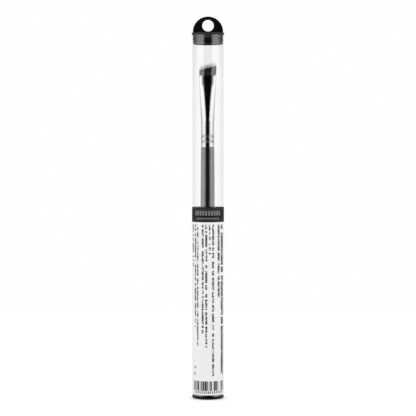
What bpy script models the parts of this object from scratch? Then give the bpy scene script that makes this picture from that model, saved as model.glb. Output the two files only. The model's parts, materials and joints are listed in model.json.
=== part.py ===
"""Angled brow brush standing in a clear hanging tube.

Eight pieces: a bottom plug, a clear tube, the printed film round it, a cap with a hanging tab, and the
brush inside, which is a handle, a ferrule, the resin set in it and a slanted tuft of bristles.
Lengths are in metres, +Z is up, and the origin is the centre of the plug's underside.
"""

import math
import random

import bmesh
import bpy

# Clearances between pieces that seat on, or push into, each other.
SEAT_GAP = 0.0002
FIT_CLEARANCE = 0.00015
CUT_OVERRUN = 0.001

# Brush handle, turned and lacquered.
HANDLE_LENGTH = 0.1247
HANDLE_SHOULDER_DIAMETER = 0.0068
HANDLE_BELLY_DIAMETER = 0.0072
HANDLE_BUTT_DIAMETER = 0.0046
HANDLE_BUTT_FLAT_DIAMETER = 0.0018
HANDLE_BELLY_SHARE = 0.7
HANDLE_BUTT_ROUND = 0.0018
HANDLE_SHOULDER_ROUND = 0.0003
TENON_LENGTH = 0.0110
BRUSH_REST_OFFSET = -0.0002

# Ferrule, a metal tube pressed to a flat oval at its mouth.
FERRULE_DIAMETER = 0.0066
FERRULE_WALL = 0.0003
FERRULE_MOUTH_WIDTH = 0.0086
FERRULE_MOUTH_DEPTH = 0.0033
FERRULE_NECK_LENGTH = 0.0111
FERRULE_TAPER_LENGTH = 0.0247
FERRULE_FLAT_LENGTH = 0.0055
CRIMP_DEPTH = 0.00015
CRIMP_RAMP = 0.0006
LOWER_CRIMP_HEIGHT = 0.0020
LOWER_CRIMP_WIDTH = 0.0019
UPPER_CRIMP_HEIGHT = 0.0045
UPPER_CRIMP_WIDTH = 0.0018

# Bristle tuft and the resin that holds it.
TUFT_SINK = 0.0012
RESIN_SLICE = 0.0015
SHORT_SIDE_REACH = 0.0050
LONG_SIDE_REACH = 0.0072
TIP_TAPER = 0.0023
TIP_UNEVENNESS = 0.0004
TUFT_TIP_WIDTH_SHARE = 1.10
TUFT_TIP_DEPTH_SHARE = 0.55
STRAND_WIDTH_SHARE = 0.70
SHOULDER_WIDTH_SHARE = 0.85
ROW_STAGGER_SHARE = 0.13
GRID_SLANT_SHARE = 0.07
BRISTLE_COLUMNS = 32
BRISTLE_ROWS = 11
GRID_FILL_SHARE = 0.985
CORNER_LIMIT_SHARE = 1.72
BRISTLE_SEED = 7

# Clear tube.
TUBE_OUTER_DIAMETER = 0.0159
TUBE_WALL = 0.00035
TIP_HEADROOM = 0.0131

# Printed film round the tube.
LABEL_HEIGHT = 0.0942
LABEL_THICKNESS = 0.00008
LABEL_GLUE = 0.00003
LABEL_MARGIN = 0.00075
LABEL_SEAM = 0.0008

# Bottom plug.
PLUG_FLANGE_OVERHANG = 0.00005
PLUG_FLANGE_HEIGHT = 0.0012
PLUG_FLOOR = 0.0014
PLUG_SKIRT_HEIGHT = 0.0080
PLUG_WALL = 0.0010
PLUG_EDGE_ROUND = 0.0005
PLUG_TOP_ROUND = 0.0002

# Hanging cap.
CAP_FLANGE_OVERHANG = 0.0002
CAP_FLANGE_HEIGHT = 0.0011
CAP_ROOF = 0.0011
CAP_SKIRT_HEIGHT = 0.0048
CAP_WALL = 0.0010
CAP_EDGE_ROUND = 0.0002
CAP_GROOVE_DEPTH = 0.00015
CAP_GROOVE_WIDTH = 0.0006
CAP_GROOVE_DROP = 0.0014
CAP_LEAD_HEIGHT = 0.0006
LEAD_IN = 0.0003
TAB_RADIUS = 0.0076
TAB_THICKNESS = 0.0020
TAB_RISE = 0.00045
TAB_ROOT = 0.0005
TAB_EDGE_ROUND = 0.0002
HANG_HOLE_DIAMETER = 0.0058
HANG_HOLE_RISE = 0.0035

# How finely round shapes are drawn.
TUBE_SEGMENTS = 48
BRUSH_SEGMENTS = 36
EDGE_STEPS = 3
HANDLE_STEPS = 9
TAPER_STEPS = 6
TAB_STEPS = 32
TAB_EDGE_SEGMENTS = 2
SHARP_EDGE_DEGREES = 35
BEVELLED_EDGE_DEGREES = 40

# Sizes that follow from the ones above.
TUBE_OUTER = TUBE_OUTER_DIAMETER / 2
TUBE_INNER = TUBE_OUTER - TUBE_WALL
SKIRT_OUTER = TUBE_INNER - FIT_CLEARANCE
FERRULE_RADIUS = FERRULE_DIAMETER / 2
FERRULE_LENGTH = FERRULE_NECK_LENGTH + FERRULE_TAPER_LENGTH
TUBE_BASE = PLUG_FLANGE_HEIGHT + SEAT_GAP
HANDLE_BASE = PLUG_FLOOR + SEAT_GAP
FERRULE_BASE = HANDLE_BASE + HANDLE_LENGTH + SEAT_GAP
MOUTH_HEIGHT = FERRULE_BASE + FERRULE_LENGTH
TUFT_BASE = MOUTH_HEIGHT - TUFT_SINK - RESIN_SLICE
RESIN_BASE = HANDLE_BASE + HANDLE_LENGTH + TENON_LENGTH + SEAT_GAP
CAP_BASE = MOUTH_HEIGHT + LONG_SIDE_REACH + TIP_HEADROOM
TUBE_LENGTH = CAP_BASE - SEAT_GAP - TUBE_BASE


def clear_scene():
    """Remove the objects of the scene that is open."""
    for old in list(bpy.data.objects):
        bpy.data.objects.remove(old, do_unlink=True)


def make_material(name, colour, roughness, metallic, alpha=1.0):
    """Return a Principled material with one colour and finish."""
    material = bpy.data.materials.new(name)
    material.use_nodes = True
    shader = material.node_tree.nodes["Principled BSDF"]
    shader.inputs["Base Color"].default_value = (*colour, 1.0)
    shader.inputs["Roughness"].default_value = roughness
    shader.inputs["Metallic"].default_value = metallic
    shader.inputs["Alpha"].default_value = alpha
    return material


def add_object(name, bm, material, base, parent=None):
    """Turn a bmesh into a named object that stands at height base on the axis."""
    bmesh.ops.recalc_face_normals(bm, faces=bm.faces)
    mesh = bpy.data.meshes.new(name)
    bm.to_mesh(mesh)
    bm.free()
    mesh.materials.append(material)
    mesh.shade_smooth()
    mesh.set_sharp_from_angle(angle=math.radians(SHARP_EDGE_DEGREES))
    piece = bpy.data.objects.new(name, mesh)
    bpy.context.scene.collection.objects.link(piece)
    piece.location = (0, 0, base)
    if parent is not None:
        piece.parent = parent
        piece.location = (0, 0, base - parent.location.z)
    return piece


def add_joint_empty(name, height, aside=0):
    """Return an empty at the height where a body seats, on the tube's axis or moved aside along X."""
    empty = bpy.data.objects.new(name, None)
    bpy.context.scene.collection.objects.link(empty)
    empty.location = (aside, 0, height)
    return empty


def oval_ring(bm, half_width, half_depth, height, segments):
    """Return the vertices of a level oval ring, anticlockwise from +X."""
    ring = []
    for step in range(segments):
        angle = math.tau * step / segments
        x = half_width * math.cos(angle)
        y = half_depth * math.sin(angle)
        ring.append(bm.verts.new((x, y, height)))
    return ring


def join_rings(bm, lower, upper):
    """Close the band between two rings with quads that face out when upper is above."""
    count = len(lower)
    for i in range(count):
        j = (i + 1) % count
        bm.faces.new((lower[i], lower[j], upper[j], upper[i]))


def loft(sections, segments, hollow):
    """Return a bmesh through oval sections of (half width, half depth, height).

    The sections run up the outside. A hollow loft goes on down the inside and closes on its first
    section, and a solid one is closed with a flat face at each end.
    """
    bm = bmesh.new()
    rings = [oval_ring(bm, width, depth, height, segments) for width, depth, height in sections]
    for lower, upper in zip(rings, rings[1:]):
        join_rings(bm, lower, upper)
    if hollow:
        join_rings(bm, rings[-1], rings[0])
    else:
        bm.faces.new(list(reversed(rings[0])))
        bm.faces.new(rings[-1])
    return bm


def turned(profile, segments, hollow):
    """Return a bmesh turned from a profile of (radius, height) points."""
    return loft([(radius, radius, height) for radius, height in profile], segments, hollow)


def corner(radius, height, size, start, end):
    """Return the points of a rounded corner about (radius, height), angles in degrees."""
    points = []
    for step in range(EDGE_STEPS + 1):
        angle = math.radians(start + (end - start) * step / EDGE_STEPS)
        points.append((radius + size * math.cos(angle), height + size * math.sin(angle)))
    return points


def blend(start, end, share):
    """Return the value a share of the way from start to end."""
    return start + (end - start) * share


def make_bottom_plug(material):
    """Flange with a rounded lower edge, and a hollow skirt that enters the tube."""
    flange = TUBE_OUTER + PLUG_FLANGE_OVERHANG
    top = PLUG_FLANGE_HEIGHT + PLUG_SKIRT_HEIGHT
    inner = SKIRT_OUTER - PLUG_WALL
    profile = corner(flange - PLUG_EDGE_ROUND, PLUG_EDGE_ROUND, PLUG_EDGE_ROUND, -90, 0)
    profile += corner(flange - PLUG_TOP_ROUND, PLUG_FLANGE_HEIGHT - PLUG_TOP_ROUND, PLUG_TOP_ROUND, 0, 90)
    profile.append((SKIRT_OUTER, PLUG_FLANGE_HEIGHT))
    profile.append((SKIRT_OUTER, top - LEAD_IN))
    profile.append((SKIRT_OUTER - LEAD_IN, top))
    profile.append((inner, top))
    profile.append((inner, PLUG_FLOOR))
    bm = turned(profile, TUBE_SEGMENTS, hollow=False)
    return add_object("bottom_plug", bm, material, 0)


def make_clear_tube(material, joint):
    """Plain tube that stands on the plug's flange."""
    profile = [
        (TUBE_OUTER, 0),
        (TUBE_OUTER, TUBE_LENGTH),
        (TUBE_INNER, TUBE_LENGTH),
        (TUBE_INNER, 0),
    ]
    bm = turned(profile, TUBE_SEGMENTS, hollow=True)
    return add_object("clear_tube", bm, material, TUBE_BASE, joint)


def make_label_film(material, joint):
    """Thin film wrapped round the tube, open along a narrow seam at the back."""
    inner = TUBE_OUTER + LABEL_GLUE
    outer = inner + LABEL_THICKNESS
    half_seam = LABEL_SEAM / 2 / outer
    back = math.pi / 2
    angles = [back + half_seam]
    for step in range(1, TUBE_SEGMENTS):
        angles.append(back + math.tau * step / TUBE_SEGMENTS)
    angles.append(back + math.tau - half_seam)
    bm = bmesh.new()
    columns = []
    for angle in angles:
        column = []
        for radius, height in ((outer, 0), (outer, LABEL_HEIGHT), (inner, LABEL_HEIGHT), (inner, 0)):
            column.append(bm.verts.new((radius * math.cos(angle), radius * math.sin(angle), height)))
        columns.append(column)
    for near, far in zip(columns, columns[1:]):
        for i in range(len(near)):
            j = (i + 1) % len(near)
            bm.faces.new((near[i], far[i], far[j], near[j]))
    bm.faces.new(columns[0])
    bm.faces.new(list(reversed(columns[-1])))
    return add_object("label_film", bm, material, TUBE_BASE + LABEL_MARGIN, joint)


def cap_profile():
    """Profile of the cap from its inner roof, down the skirt's inside and up its outside."""
    crest = SKIRT_OUTER
    groove = crest - CAP_GROOVE_DEPTH
    inner = crest - CAP_WALL
    flange = TUBE_OUTER + CAP_FLANGE_OVERHANG
    foot = -CAP_SKIRT_HEIGHT
    roof = CAP_FLANGE_HEIGHT - CAP_ROOF
    half_groove = CAP_GROOVE_WIDTH / 2
    profile = [
        (inner, roof),
        (inner, foot),
        (crest - LEAD_IN, foot),
        (crest, foot + CAP_LEAD_HEIGHT),
        (crest, -CAP_GROOVE_DROP - half_groove),
        (groove, -CAP_GROOVE_DROP),
        (crest, -CAP_GROOVE_DROP + half_groove),
        (crest, 0),
        (flange - CAP_EDGE_ROUND, 0),
    ]
    profile += corner(flange - CAP_EDGE_ROUND, CAP_EDGE_ROUND, CAP_EDGE_ROUND, -90, 0)[1:]
    profile += corner(flange - CAP_EDGE_ROUND, CAP_FLANGE_HEIGHT - CAP_EDGE_ROUND, CAP_EDGE_ROUND, 0, 90)
    return profile


def plate(outline, near, far):
    """Return a bmesh plate between two places along Y, from an outline of (x, z) points."""
    bm = bmesh.new()
    rings = [[bm.verts.new((x, y, z)) for x, z in outline] for y in (near, far)]
    join_rings(bm, rings[0], rings[1])
    bm.faces.new(list(reversed(rings[0])))
    bm.faces.new(rings[1])
    return bm


def arc(radius, height, start, end, steps):
    """Return (x, z) points of an arc about the axis at a height, angles in degrees."""
    points = []
    for step in range(steps + 1):
        angle = math.radians(blend(start, end, step / steps))
        points.append((radius * math.cos(angle), height + radius * math.sin(angle)))
    return points


def make_hang_hole(material, joint):
    """Cylinder along Y that cuts the hanging hole through the tab."""
    reach = TAB_THICKNESS / 2 + CUT_OVERRUN
    height = CAP_FLANGE_HEIGHT + HANG_HOLE_RISE
    outline = arc(HANG_HOLE_DIAMETER / 2, height, 0, 360, TAB_STEPS)[:-1]
    hole = add_object("hang_hole_shape", plate(outline, -reach, reach), material, CAP_BASE, joint)
    hide_guide(hole)
    return hole


def make_hang_tab(material, joint):
    """Half-round plate that stands in the cap's flange, with its hanging hole cut through."""
    half = TAB_THICKNESS / 2
    root = CAP_FLANGE_HEIGHT - TAB_ROOT
    outline = [(-TAB_RADIUS, root), (TAB_RADIUS, root)]
    outline += arc(TAB_RADIUS, CAP_FLANGE_HEIGHT + TAB_RISE, 0, 180, TAB_STEPS)
    tab = add_object("hang_tab_shape", plate(outline, -half, half), material, CAP_BASE, joint)
    add_cut(tab, make_hang_hole(material, joint))
    soften = tab.modifiers.new("soft_edges", "BEVEL")
    soften.width = TAB_EDGE_ROUND
    soften.segments = TAB_EDGE_SEGMENTS
    soften.limit_method = "ANGLE"
    soften.angle_limit = math.radians(BEVELLED_EDGE_DEGREES)
    hide_guide(tab)
    return tab


def hide_guide(shape):
    """Mark a shape as a guide that is not a piece of the object."""
    shape.hide_render = True
    shape.display_type = "WIRE"


def add_cut(piece, cutter):
    """Cut one shape out of a piece."""
    cut = piece.modifiers.new("cut_" + cutter.name, "BOOLEAN")
    cut.operation = "DIFFERENCE"
    cut.object = cutter
    cut.solver = "EXACT"


def make_hang_cap(material, joint):
    """Hollow skirt, thin flange and hanging tab, moulded as one piece."""
    bm = turned(cap_profile(), TUBE_SEGMENTS, hollow=False)
    cap = add_object("hang_cap", bm, material, CAP_BASE, joint)
    weld = cap.modifiers.new("join_tab", "BOOLEAN")
    weld.operation = "UNION"
    weld.object = make_hang_tab(material, joint)
    weld.solver = "EXACT"
    return cap


def handle_radius(share):
    """Radius of the handle at a share of its length, from butt to shoulder."""
    belly = HANDLE_BELLY_DIAMETER / 2
    if share < HANDLE_BELLY_SHARE:
        rise = math.sin(math.pi / 2 * share / HANDLE_BELLY_SHARE)
        return blend(HANDLE_BUTT_DIAMETER / 2, belly, rise)
    fall = (share - HANDLE_BELLY_SHARE) / (1 - HANDLE_BELLY_SHARE)
    return blend(belly, HANDLE_SHOULDER_DIAMETER / 2, fall * fall)


def crimp_rings():
    """Start and end height of each crimped ring, from the ferrule's lower rim."""
    return (
        (LOWER_CRIMP_HEIGHT, LOWER_CRIMP_HEIGHT + LOWER_CRIMP_WIDTH),
        (UPPER_CRIMP_HEIGHT, UPPER_CRIMP_HEIGHT + UPPER_CRIMP_WIDTH),
    )


def crimped(radius):
    """Profile points of a round wall of this radius where the two rings are pressed in."""
    points = []
    for start, end in crimp_rings():
        points.append((radius, start))
        points.append((radius - CRIMP_DEPTH, start + CRIMP_RAMP))
        points.append((radius - CRIMP_DEPTH, end - CRIMP_RAMP))
        points.append((radius, end))
    return points


def make_handle(material, joint):
    """Turned handle: rounded butt, soft belly, shoulder, and the tenon inside the ferrule."""
    profile = []
    flat = HANDLE_BUTT_FLAT_DIAMETER / 2
    butt = handle_radius(HANDLE_BUTT_ROUND / HANDLE_LENGTH)
    for step in range(EDGE_STEPS):
        angle = math.pi / 2 * step / EDGE_STEPS
        profile.append((blend(flat, butt, math.sin(angle)), HANDLE_BUTT_ROUND * (1 - math.cos(angle))))
    first = HANDLE_BUTT_ROUND
    last = HANDLE_LENGTH - HANDLE_SHOULDER_ROUND
    for step in range(HANDLE_STEPS + 1):
        height = blend(first, last, step / HANDLE_STEPS)
        profile.append((handle_radius(height / HANDLE_LENGTH), height))
    shoulder = handle_radius(1.0)
    profile.append((shoulder - HANDLE_SHOULDER_ROUND, HANDLE_LENGTH))
    tenon = FERRULE_RADIUS - FERRULE_WALL - FIT_CLEARANCE
    lift = HANDLE_LENGTH + SEAT_GAP
    profile.append((tenon, HANDLE_LENGTH))
    profile += [(radius, height + lift) for radius, height in crimped(tenon)]
    profile.append((tenon, HANDLE_LENGTH + TENON_LENGTH))
    bm = turned(profile, BRUSH_SEGMENTS, hollow=False)
    return add_object("handle", bm, material, HANDLE_BASE, joint)


def ferrule_section(height, inset):
    """Half width and half depth of the ferrule, drawn in by inset, at a height above its lower rim."""
    rise = max(0.0, height - FERRULE_NECK_LENGTH)
    pressed = min(1.0, rise / (FERRULE_TAPER_LENGTH - FERRULE_FLAT_LENGTH))
    half_width = blend(FERRULE_RADIUS, FERRULE_MOUTH_WIDTH / 2, rise / FERRULE_TAPER_LENGTH)
    half_depth = blend(FERRULE_RADIUS, FERRULE_MOUTH_DEPTH / 2, pressed)
    return half_width - inset, half_depth - inset


def taper_heights(low, high):
    """Heights of the ferrule's sections from low to high, with one where its flat mouth starts."""
    flat = FERRULE_LENGTH - FERRULE_FLAT_LENGTH
    steps = [blend(FERRULE_NECK_LENGTH, flat, (step + 1) / TAPER_STEPS) for step in range(TAPER_STEPS)]
    return [low] + [height for height in steps if low < height < high] + [high]


def ferrule_wall(inset):
    """Sections of one face of the ferrule's wall, from the lower rim to the mouth."""
    radius = FERRULE_RADIUS - inset
    sections = [(radius, radius, 0)]
    sections += [(round_radius, round_radius, height) for round_radius, height in crimped(radius)]
    for height in taper_heights(FERRULE_NECK_LENGTH, FERRULE_LENGTH):
        sections.append((*ferrule_section(height, inset), height))
    return sections


def make_ferrule(material, joint):
    """Thin metal tube with two crimped rings, pressed to a flat oval towards its mouth."""
    sections = ferrule_wall(0) + list(reversed(ferrule_wall(FERRULE_WALL)))
    bm = loft(sections, BRUSH_SEGMENTS, hollow=True)
    return add_object("ferrule", bm, material, FERRULE_BASE, joint)


def make_resin_plug(material, joint):
    """Set resin that fills the ferrule from the tenon to the roots of the bristles."""
    inset = FERRULE_WALL + FIT_CLEARANCE
    low = RESIN_BASE - FERRULE_BASE
    high = TUFT_BASE - SEAT_GAP - FERRULE_BASE
    sections = [(*ferrule_section(height, inset), height - low) for height in taper_heights(low, high)]
    bm = loft(sections, BRUSH_SEGMENTS, hollow=False)
    return add_object("resin_plug", bm, material, RESIN_BASE, joint)


def tuft_point(column, row, half):
    """Place a point of the square root grid in the oval of the tuft, half width and half depth given."""
    across = GRID_FILL_SHARE * (2 * column / BRISTLE_COLUMNS - 1)
    v = GRID_FILL_SHARE * (2 * row / BRISTLE_ROWS - 1)
    u = across + GRID_SLANT_SHARE * (1 - across * across) * v
    return half[0] * u * math.sqrt(1 - v * v / 2), half[1] * v * math.sqrt(1 - u * u / 2)


def spread(x, y, height, half):
    """Place a root point at a height above the roots, as the tuft widens and thins."""
    share = height / (TUFT_SINK + LONG_SIDE_REACH)
    wide = FERRULE_MOUTH_WIDTH / 2 * TUFT_TIP_WIDTH_SHARE / half[0]
    thin = FERRULE_MOUTH_DEPTH / 2 * TUFT_TIP_DEPTH_SHARE / half[1]
    return x * blend(1.0, wide, share), y * blend(1.0, thin, share), RESIN_SLICE + height


def strand_ring(bm, cell, centre, stagger, width_share, height, half):
    """Return the ring of one bristle at a height, drawn in from its cell of the root grid."""
    ring = []
    for cell_vert in cell:
        x = blend(centre[0], cell_vert.co.x, width_share) + stagger
        y = blend(centre[1], cell_vert.co.y, width_share)
        ring.append(bm.verts.new(spread(x, y, height, half)))
    return ring


def add_strand(bm, cell, centre, stagger, reach, half):
    """Raise one tapered bristle from a cell of the root grid, moved sideways by stagger."""
    tip_height = TUFT_SINK + reach
    narrow = STRAND_WIDTH_SHARE * SHOULDER_WIDTH_SHARE
    roots = strand_ring(bm, cell, centre, stagger, STRAND_WIDTH_SHARE, 0, half)
    shoulders = strand_ring(bm, cell, centre, stagger, narrow, tip_height - TIP_TAPER, half)
    tip = bm.verts.new(spread(centre[0] + stagger, centre[1], tip_height, half))
    join_rings(bm, cell, roots)
    join_rings(bm, roots, shoulders)
    for near, far in zip(shoulders, shoulders[1:] + shoulders[:1]):
        bm.faces.new((near, far, tip))


def root_grid(bm, half):
    """Return the rows of vertices of the oval grid that the bristles stand on."""
    rows = []
    for row in range(BRISTLE_ROWS + 1):
        points = [tuft_point(column, row, half) for column in range(BRISTLE_COLUMNS + 1)]
        rows.append([bm.verts.new((x, y, RESIN_SLICE)) for x, y in points])
    return rows


def in_corner(column, row):
    """Tell whether a cell lies in a corner of the grid, where the oval squeezes it too flat."""
    across = abs(2 * (column + 0.5) / BRISTLE_COLUMNS - 1)
    along = abs(2 * (row + 0.5) / BRISTLE_ROWS - 1)
    return across + along > CORNER_LIMIT_SHARE


def make_bristle_tuft(material, joint):
    """Bristles on an oval grid, cut at a slant, fused to the slice of resin at their roots."""
    inset = FERRULE_WALL + FIT_CLEARANCE
    half_width = ferrule_section(TUFT_BASE - FERRULE_BASE, inset)[0]
    half_depth = ferrule_section(FERRULE_LENGTH, inset)[1]
    half = (half_width, half_depth)
    draw = random.Random(BRISTLE_SEED)
    bm = bmesh.new()
    top = root_grid(bm, half)
    for row in range(BRISTLE_ROWS):
        near = top[row]
        far = top[row + 1]
        for column in range(BRISTLE_COLUMNS):
            cell = (near[column], near[column + 1], far[column + 1], far[column])
            if in_corner(column, row):
                bm.faces.new(cell)
                continue
            centre = tuft_point(column + 0.5, row + 0.5, half)
            stagger = ROW_STAGGER_SHARE * (cell[1].co.x - cell[0].co.x)
            if row % 2:
                stagger = -stagger
            side = (centre[0] / half_width + 1) / 2
            reach = blend(SHORT_SIDE_REACH, LONG_SIDE_REACH, side) - TIP_UNEVENNESS * draw.random()
            add_strand(bm, cell, centre, stagger, reach, half)
    add_slice(bm, top)
    return add_object("bristle_tuft", bm, material, TUFT_BASE, joint)


def add_slice(bm, top):
    """Close the slice of resin below the root grid."""
    rim = list(top[0])
    rim += [line[-1] for line in top[1:]]
    rim += list(reversed(top[-1][:-1]))
    rim += [line[0] for line in reversed(top[1:-1])]
    foot = [bm.verts.new((vert.co.x, vert.co.y, 0)) for vert in rim]
    join_rings(bm, foot, rim)
    bm.faces.new(list(reversed(foot)))


def main():
    """Build the packed brush, each body on the axis that it slides along."""
    clear_scene()
    black = make_material("moulded_black_plastic", (0.012, 0.012, 0.012), 0.35, 0.0)
    clear = make_material("clear_tube_plastic", (0.95, 0.96, 0.96), 0.05, 0.0, alpha=0.2)
    film = make_material("printed_film", (0.84, 0.84, 0.84), 0.6, 0.0)
    lacquer = make_material("black_lacquered_wood", (0.008, 0.008, 0.008), 0.12, 0.0)
    plated = make_material("bright_plated_metal", (0.80, 0.80, 0.79), 0.12, 1.0)
    resin = make_material("set_resin", (0.55, 0.45, 0.28), 0.3, 0.0)
    bristle = make_material("dark_bristle", (0.015, 0.014, 0.013), 0.5, 0.0)
    tube_joint = add_joint_empty("tube_slide_seat", TUBE_BASE)
    brush_joint = add_joint_empty("brush_slide_seat", HANDLE_BASE, BRUSH_REST_OFFSET)
    cap_joint = add_joint_empty("cap_slide_seat", CAP_BASE)
    make_bottom_plug(black)
    make_clear_tube(clear, tube_joint)
    make_label_film(film, tube_joint)
    make_hang_cap(black, cap_joint)
    make_handle(lacquer, brush_joint)
    make_ferrule(plated, brush_joint)
    make_resin_plug(resin, brush_joint)
    make_bristle_tuft(bristle, brush_joint)


main()
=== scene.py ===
"""Angled brow brush standing in its clear hanging tube: the dressed model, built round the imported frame.

Every piece is made where the frame has it, in metres, +Z up, with its object at the origin. Each
sub-assembly is a class that holds its own sizes, makes its mesh and dresses it in a finish of its own.
"""

import json
import logging
import math
from dataclasses import dataclass, fields
from enum import Enum
from typing import Iterable, Sequence

import bmesh
import bpy
from mathutils import Matrix, Vector

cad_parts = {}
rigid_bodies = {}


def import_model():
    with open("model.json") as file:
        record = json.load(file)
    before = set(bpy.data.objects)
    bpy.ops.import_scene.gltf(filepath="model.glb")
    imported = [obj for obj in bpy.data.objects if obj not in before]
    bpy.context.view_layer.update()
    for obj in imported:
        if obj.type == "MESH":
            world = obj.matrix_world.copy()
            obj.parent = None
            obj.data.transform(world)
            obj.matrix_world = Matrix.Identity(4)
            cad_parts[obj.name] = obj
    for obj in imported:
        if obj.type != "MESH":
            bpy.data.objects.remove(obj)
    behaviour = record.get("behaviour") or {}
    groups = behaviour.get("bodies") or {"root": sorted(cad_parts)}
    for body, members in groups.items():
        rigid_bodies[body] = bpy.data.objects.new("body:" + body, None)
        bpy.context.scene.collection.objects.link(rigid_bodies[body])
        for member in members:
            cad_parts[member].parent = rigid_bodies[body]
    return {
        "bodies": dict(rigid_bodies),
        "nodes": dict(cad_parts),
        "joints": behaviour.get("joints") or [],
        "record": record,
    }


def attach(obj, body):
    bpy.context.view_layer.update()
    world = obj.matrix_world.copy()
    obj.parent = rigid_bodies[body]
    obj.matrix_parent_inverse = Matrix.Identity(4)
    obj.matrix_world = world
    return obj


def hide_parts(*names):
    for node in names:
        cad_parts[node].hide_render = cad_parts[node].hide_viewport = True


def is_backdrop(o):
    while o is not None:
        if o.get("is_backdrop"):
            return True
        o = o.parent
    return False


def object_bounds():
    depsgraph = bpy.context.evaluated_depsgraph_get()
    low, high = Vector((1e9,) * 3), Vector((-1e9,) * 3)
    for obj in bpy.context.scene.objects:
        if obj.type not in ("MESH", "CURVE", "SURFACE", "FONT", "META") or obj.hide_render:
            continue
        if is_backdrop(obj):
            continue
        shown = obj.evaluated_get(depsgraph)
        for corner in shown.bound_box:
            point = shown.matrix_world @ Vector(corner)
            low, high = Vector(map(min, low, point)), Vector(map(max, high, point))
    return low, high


LOG = logging.getLogger("brow_brush")

MM = 0.001

# The brush's body, and how far to the right of the tube's axis it stands.
BRUSH = "brush"
BRUSH_ASIDE = -0.2 * MM

Object = bpy.types.Object
Material = bpy.types.Material
BMesh = bmesh.types.BMesh

# What feeds a node: a socket, or another node by its first output. A value may be a bare number too.
Source = bpy.types.Node | bpy.types.NodeSocket
Value = Source | float
Feeds = dict[int | str, object] | Sequence[object]

# Level oval section of a piece: half width, half depth and height, in metres.
Section = tuple[float, float, float]
Point = tuple[float, float]
Colour = tuple[float, float, float, float]


def linear(code: str) -> Colour:
    """Turn a colour from sRGB hex into linear light.

    Args:
        code: The colour, as #rrggbb.

    Returns:
        Red, green, blue and an alpha of 1.
    """
    channels = []
    for start in (1, 3, 5):
        value = int(code[start:start + 2], 16) / 255
        channels.append(value / 12.92 if value <= 0.04045 else ((value + 0.055) / 1.055) ** 2.4)
    return (channels[0], channels[1], channels[2], 1.0)


def blend(start: float, end: float, share: float) -> float:
    """Return the value a share of the way from start to end."""
    return start + (end - start) * share


class Grain(Enum):
    """Direction that a surface pattern is drawn out in."""

    EVEN = (1.0, 1.0, 1.0)
    LENGTHWISE = (1.0, 1.0, 0.02)


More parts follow.
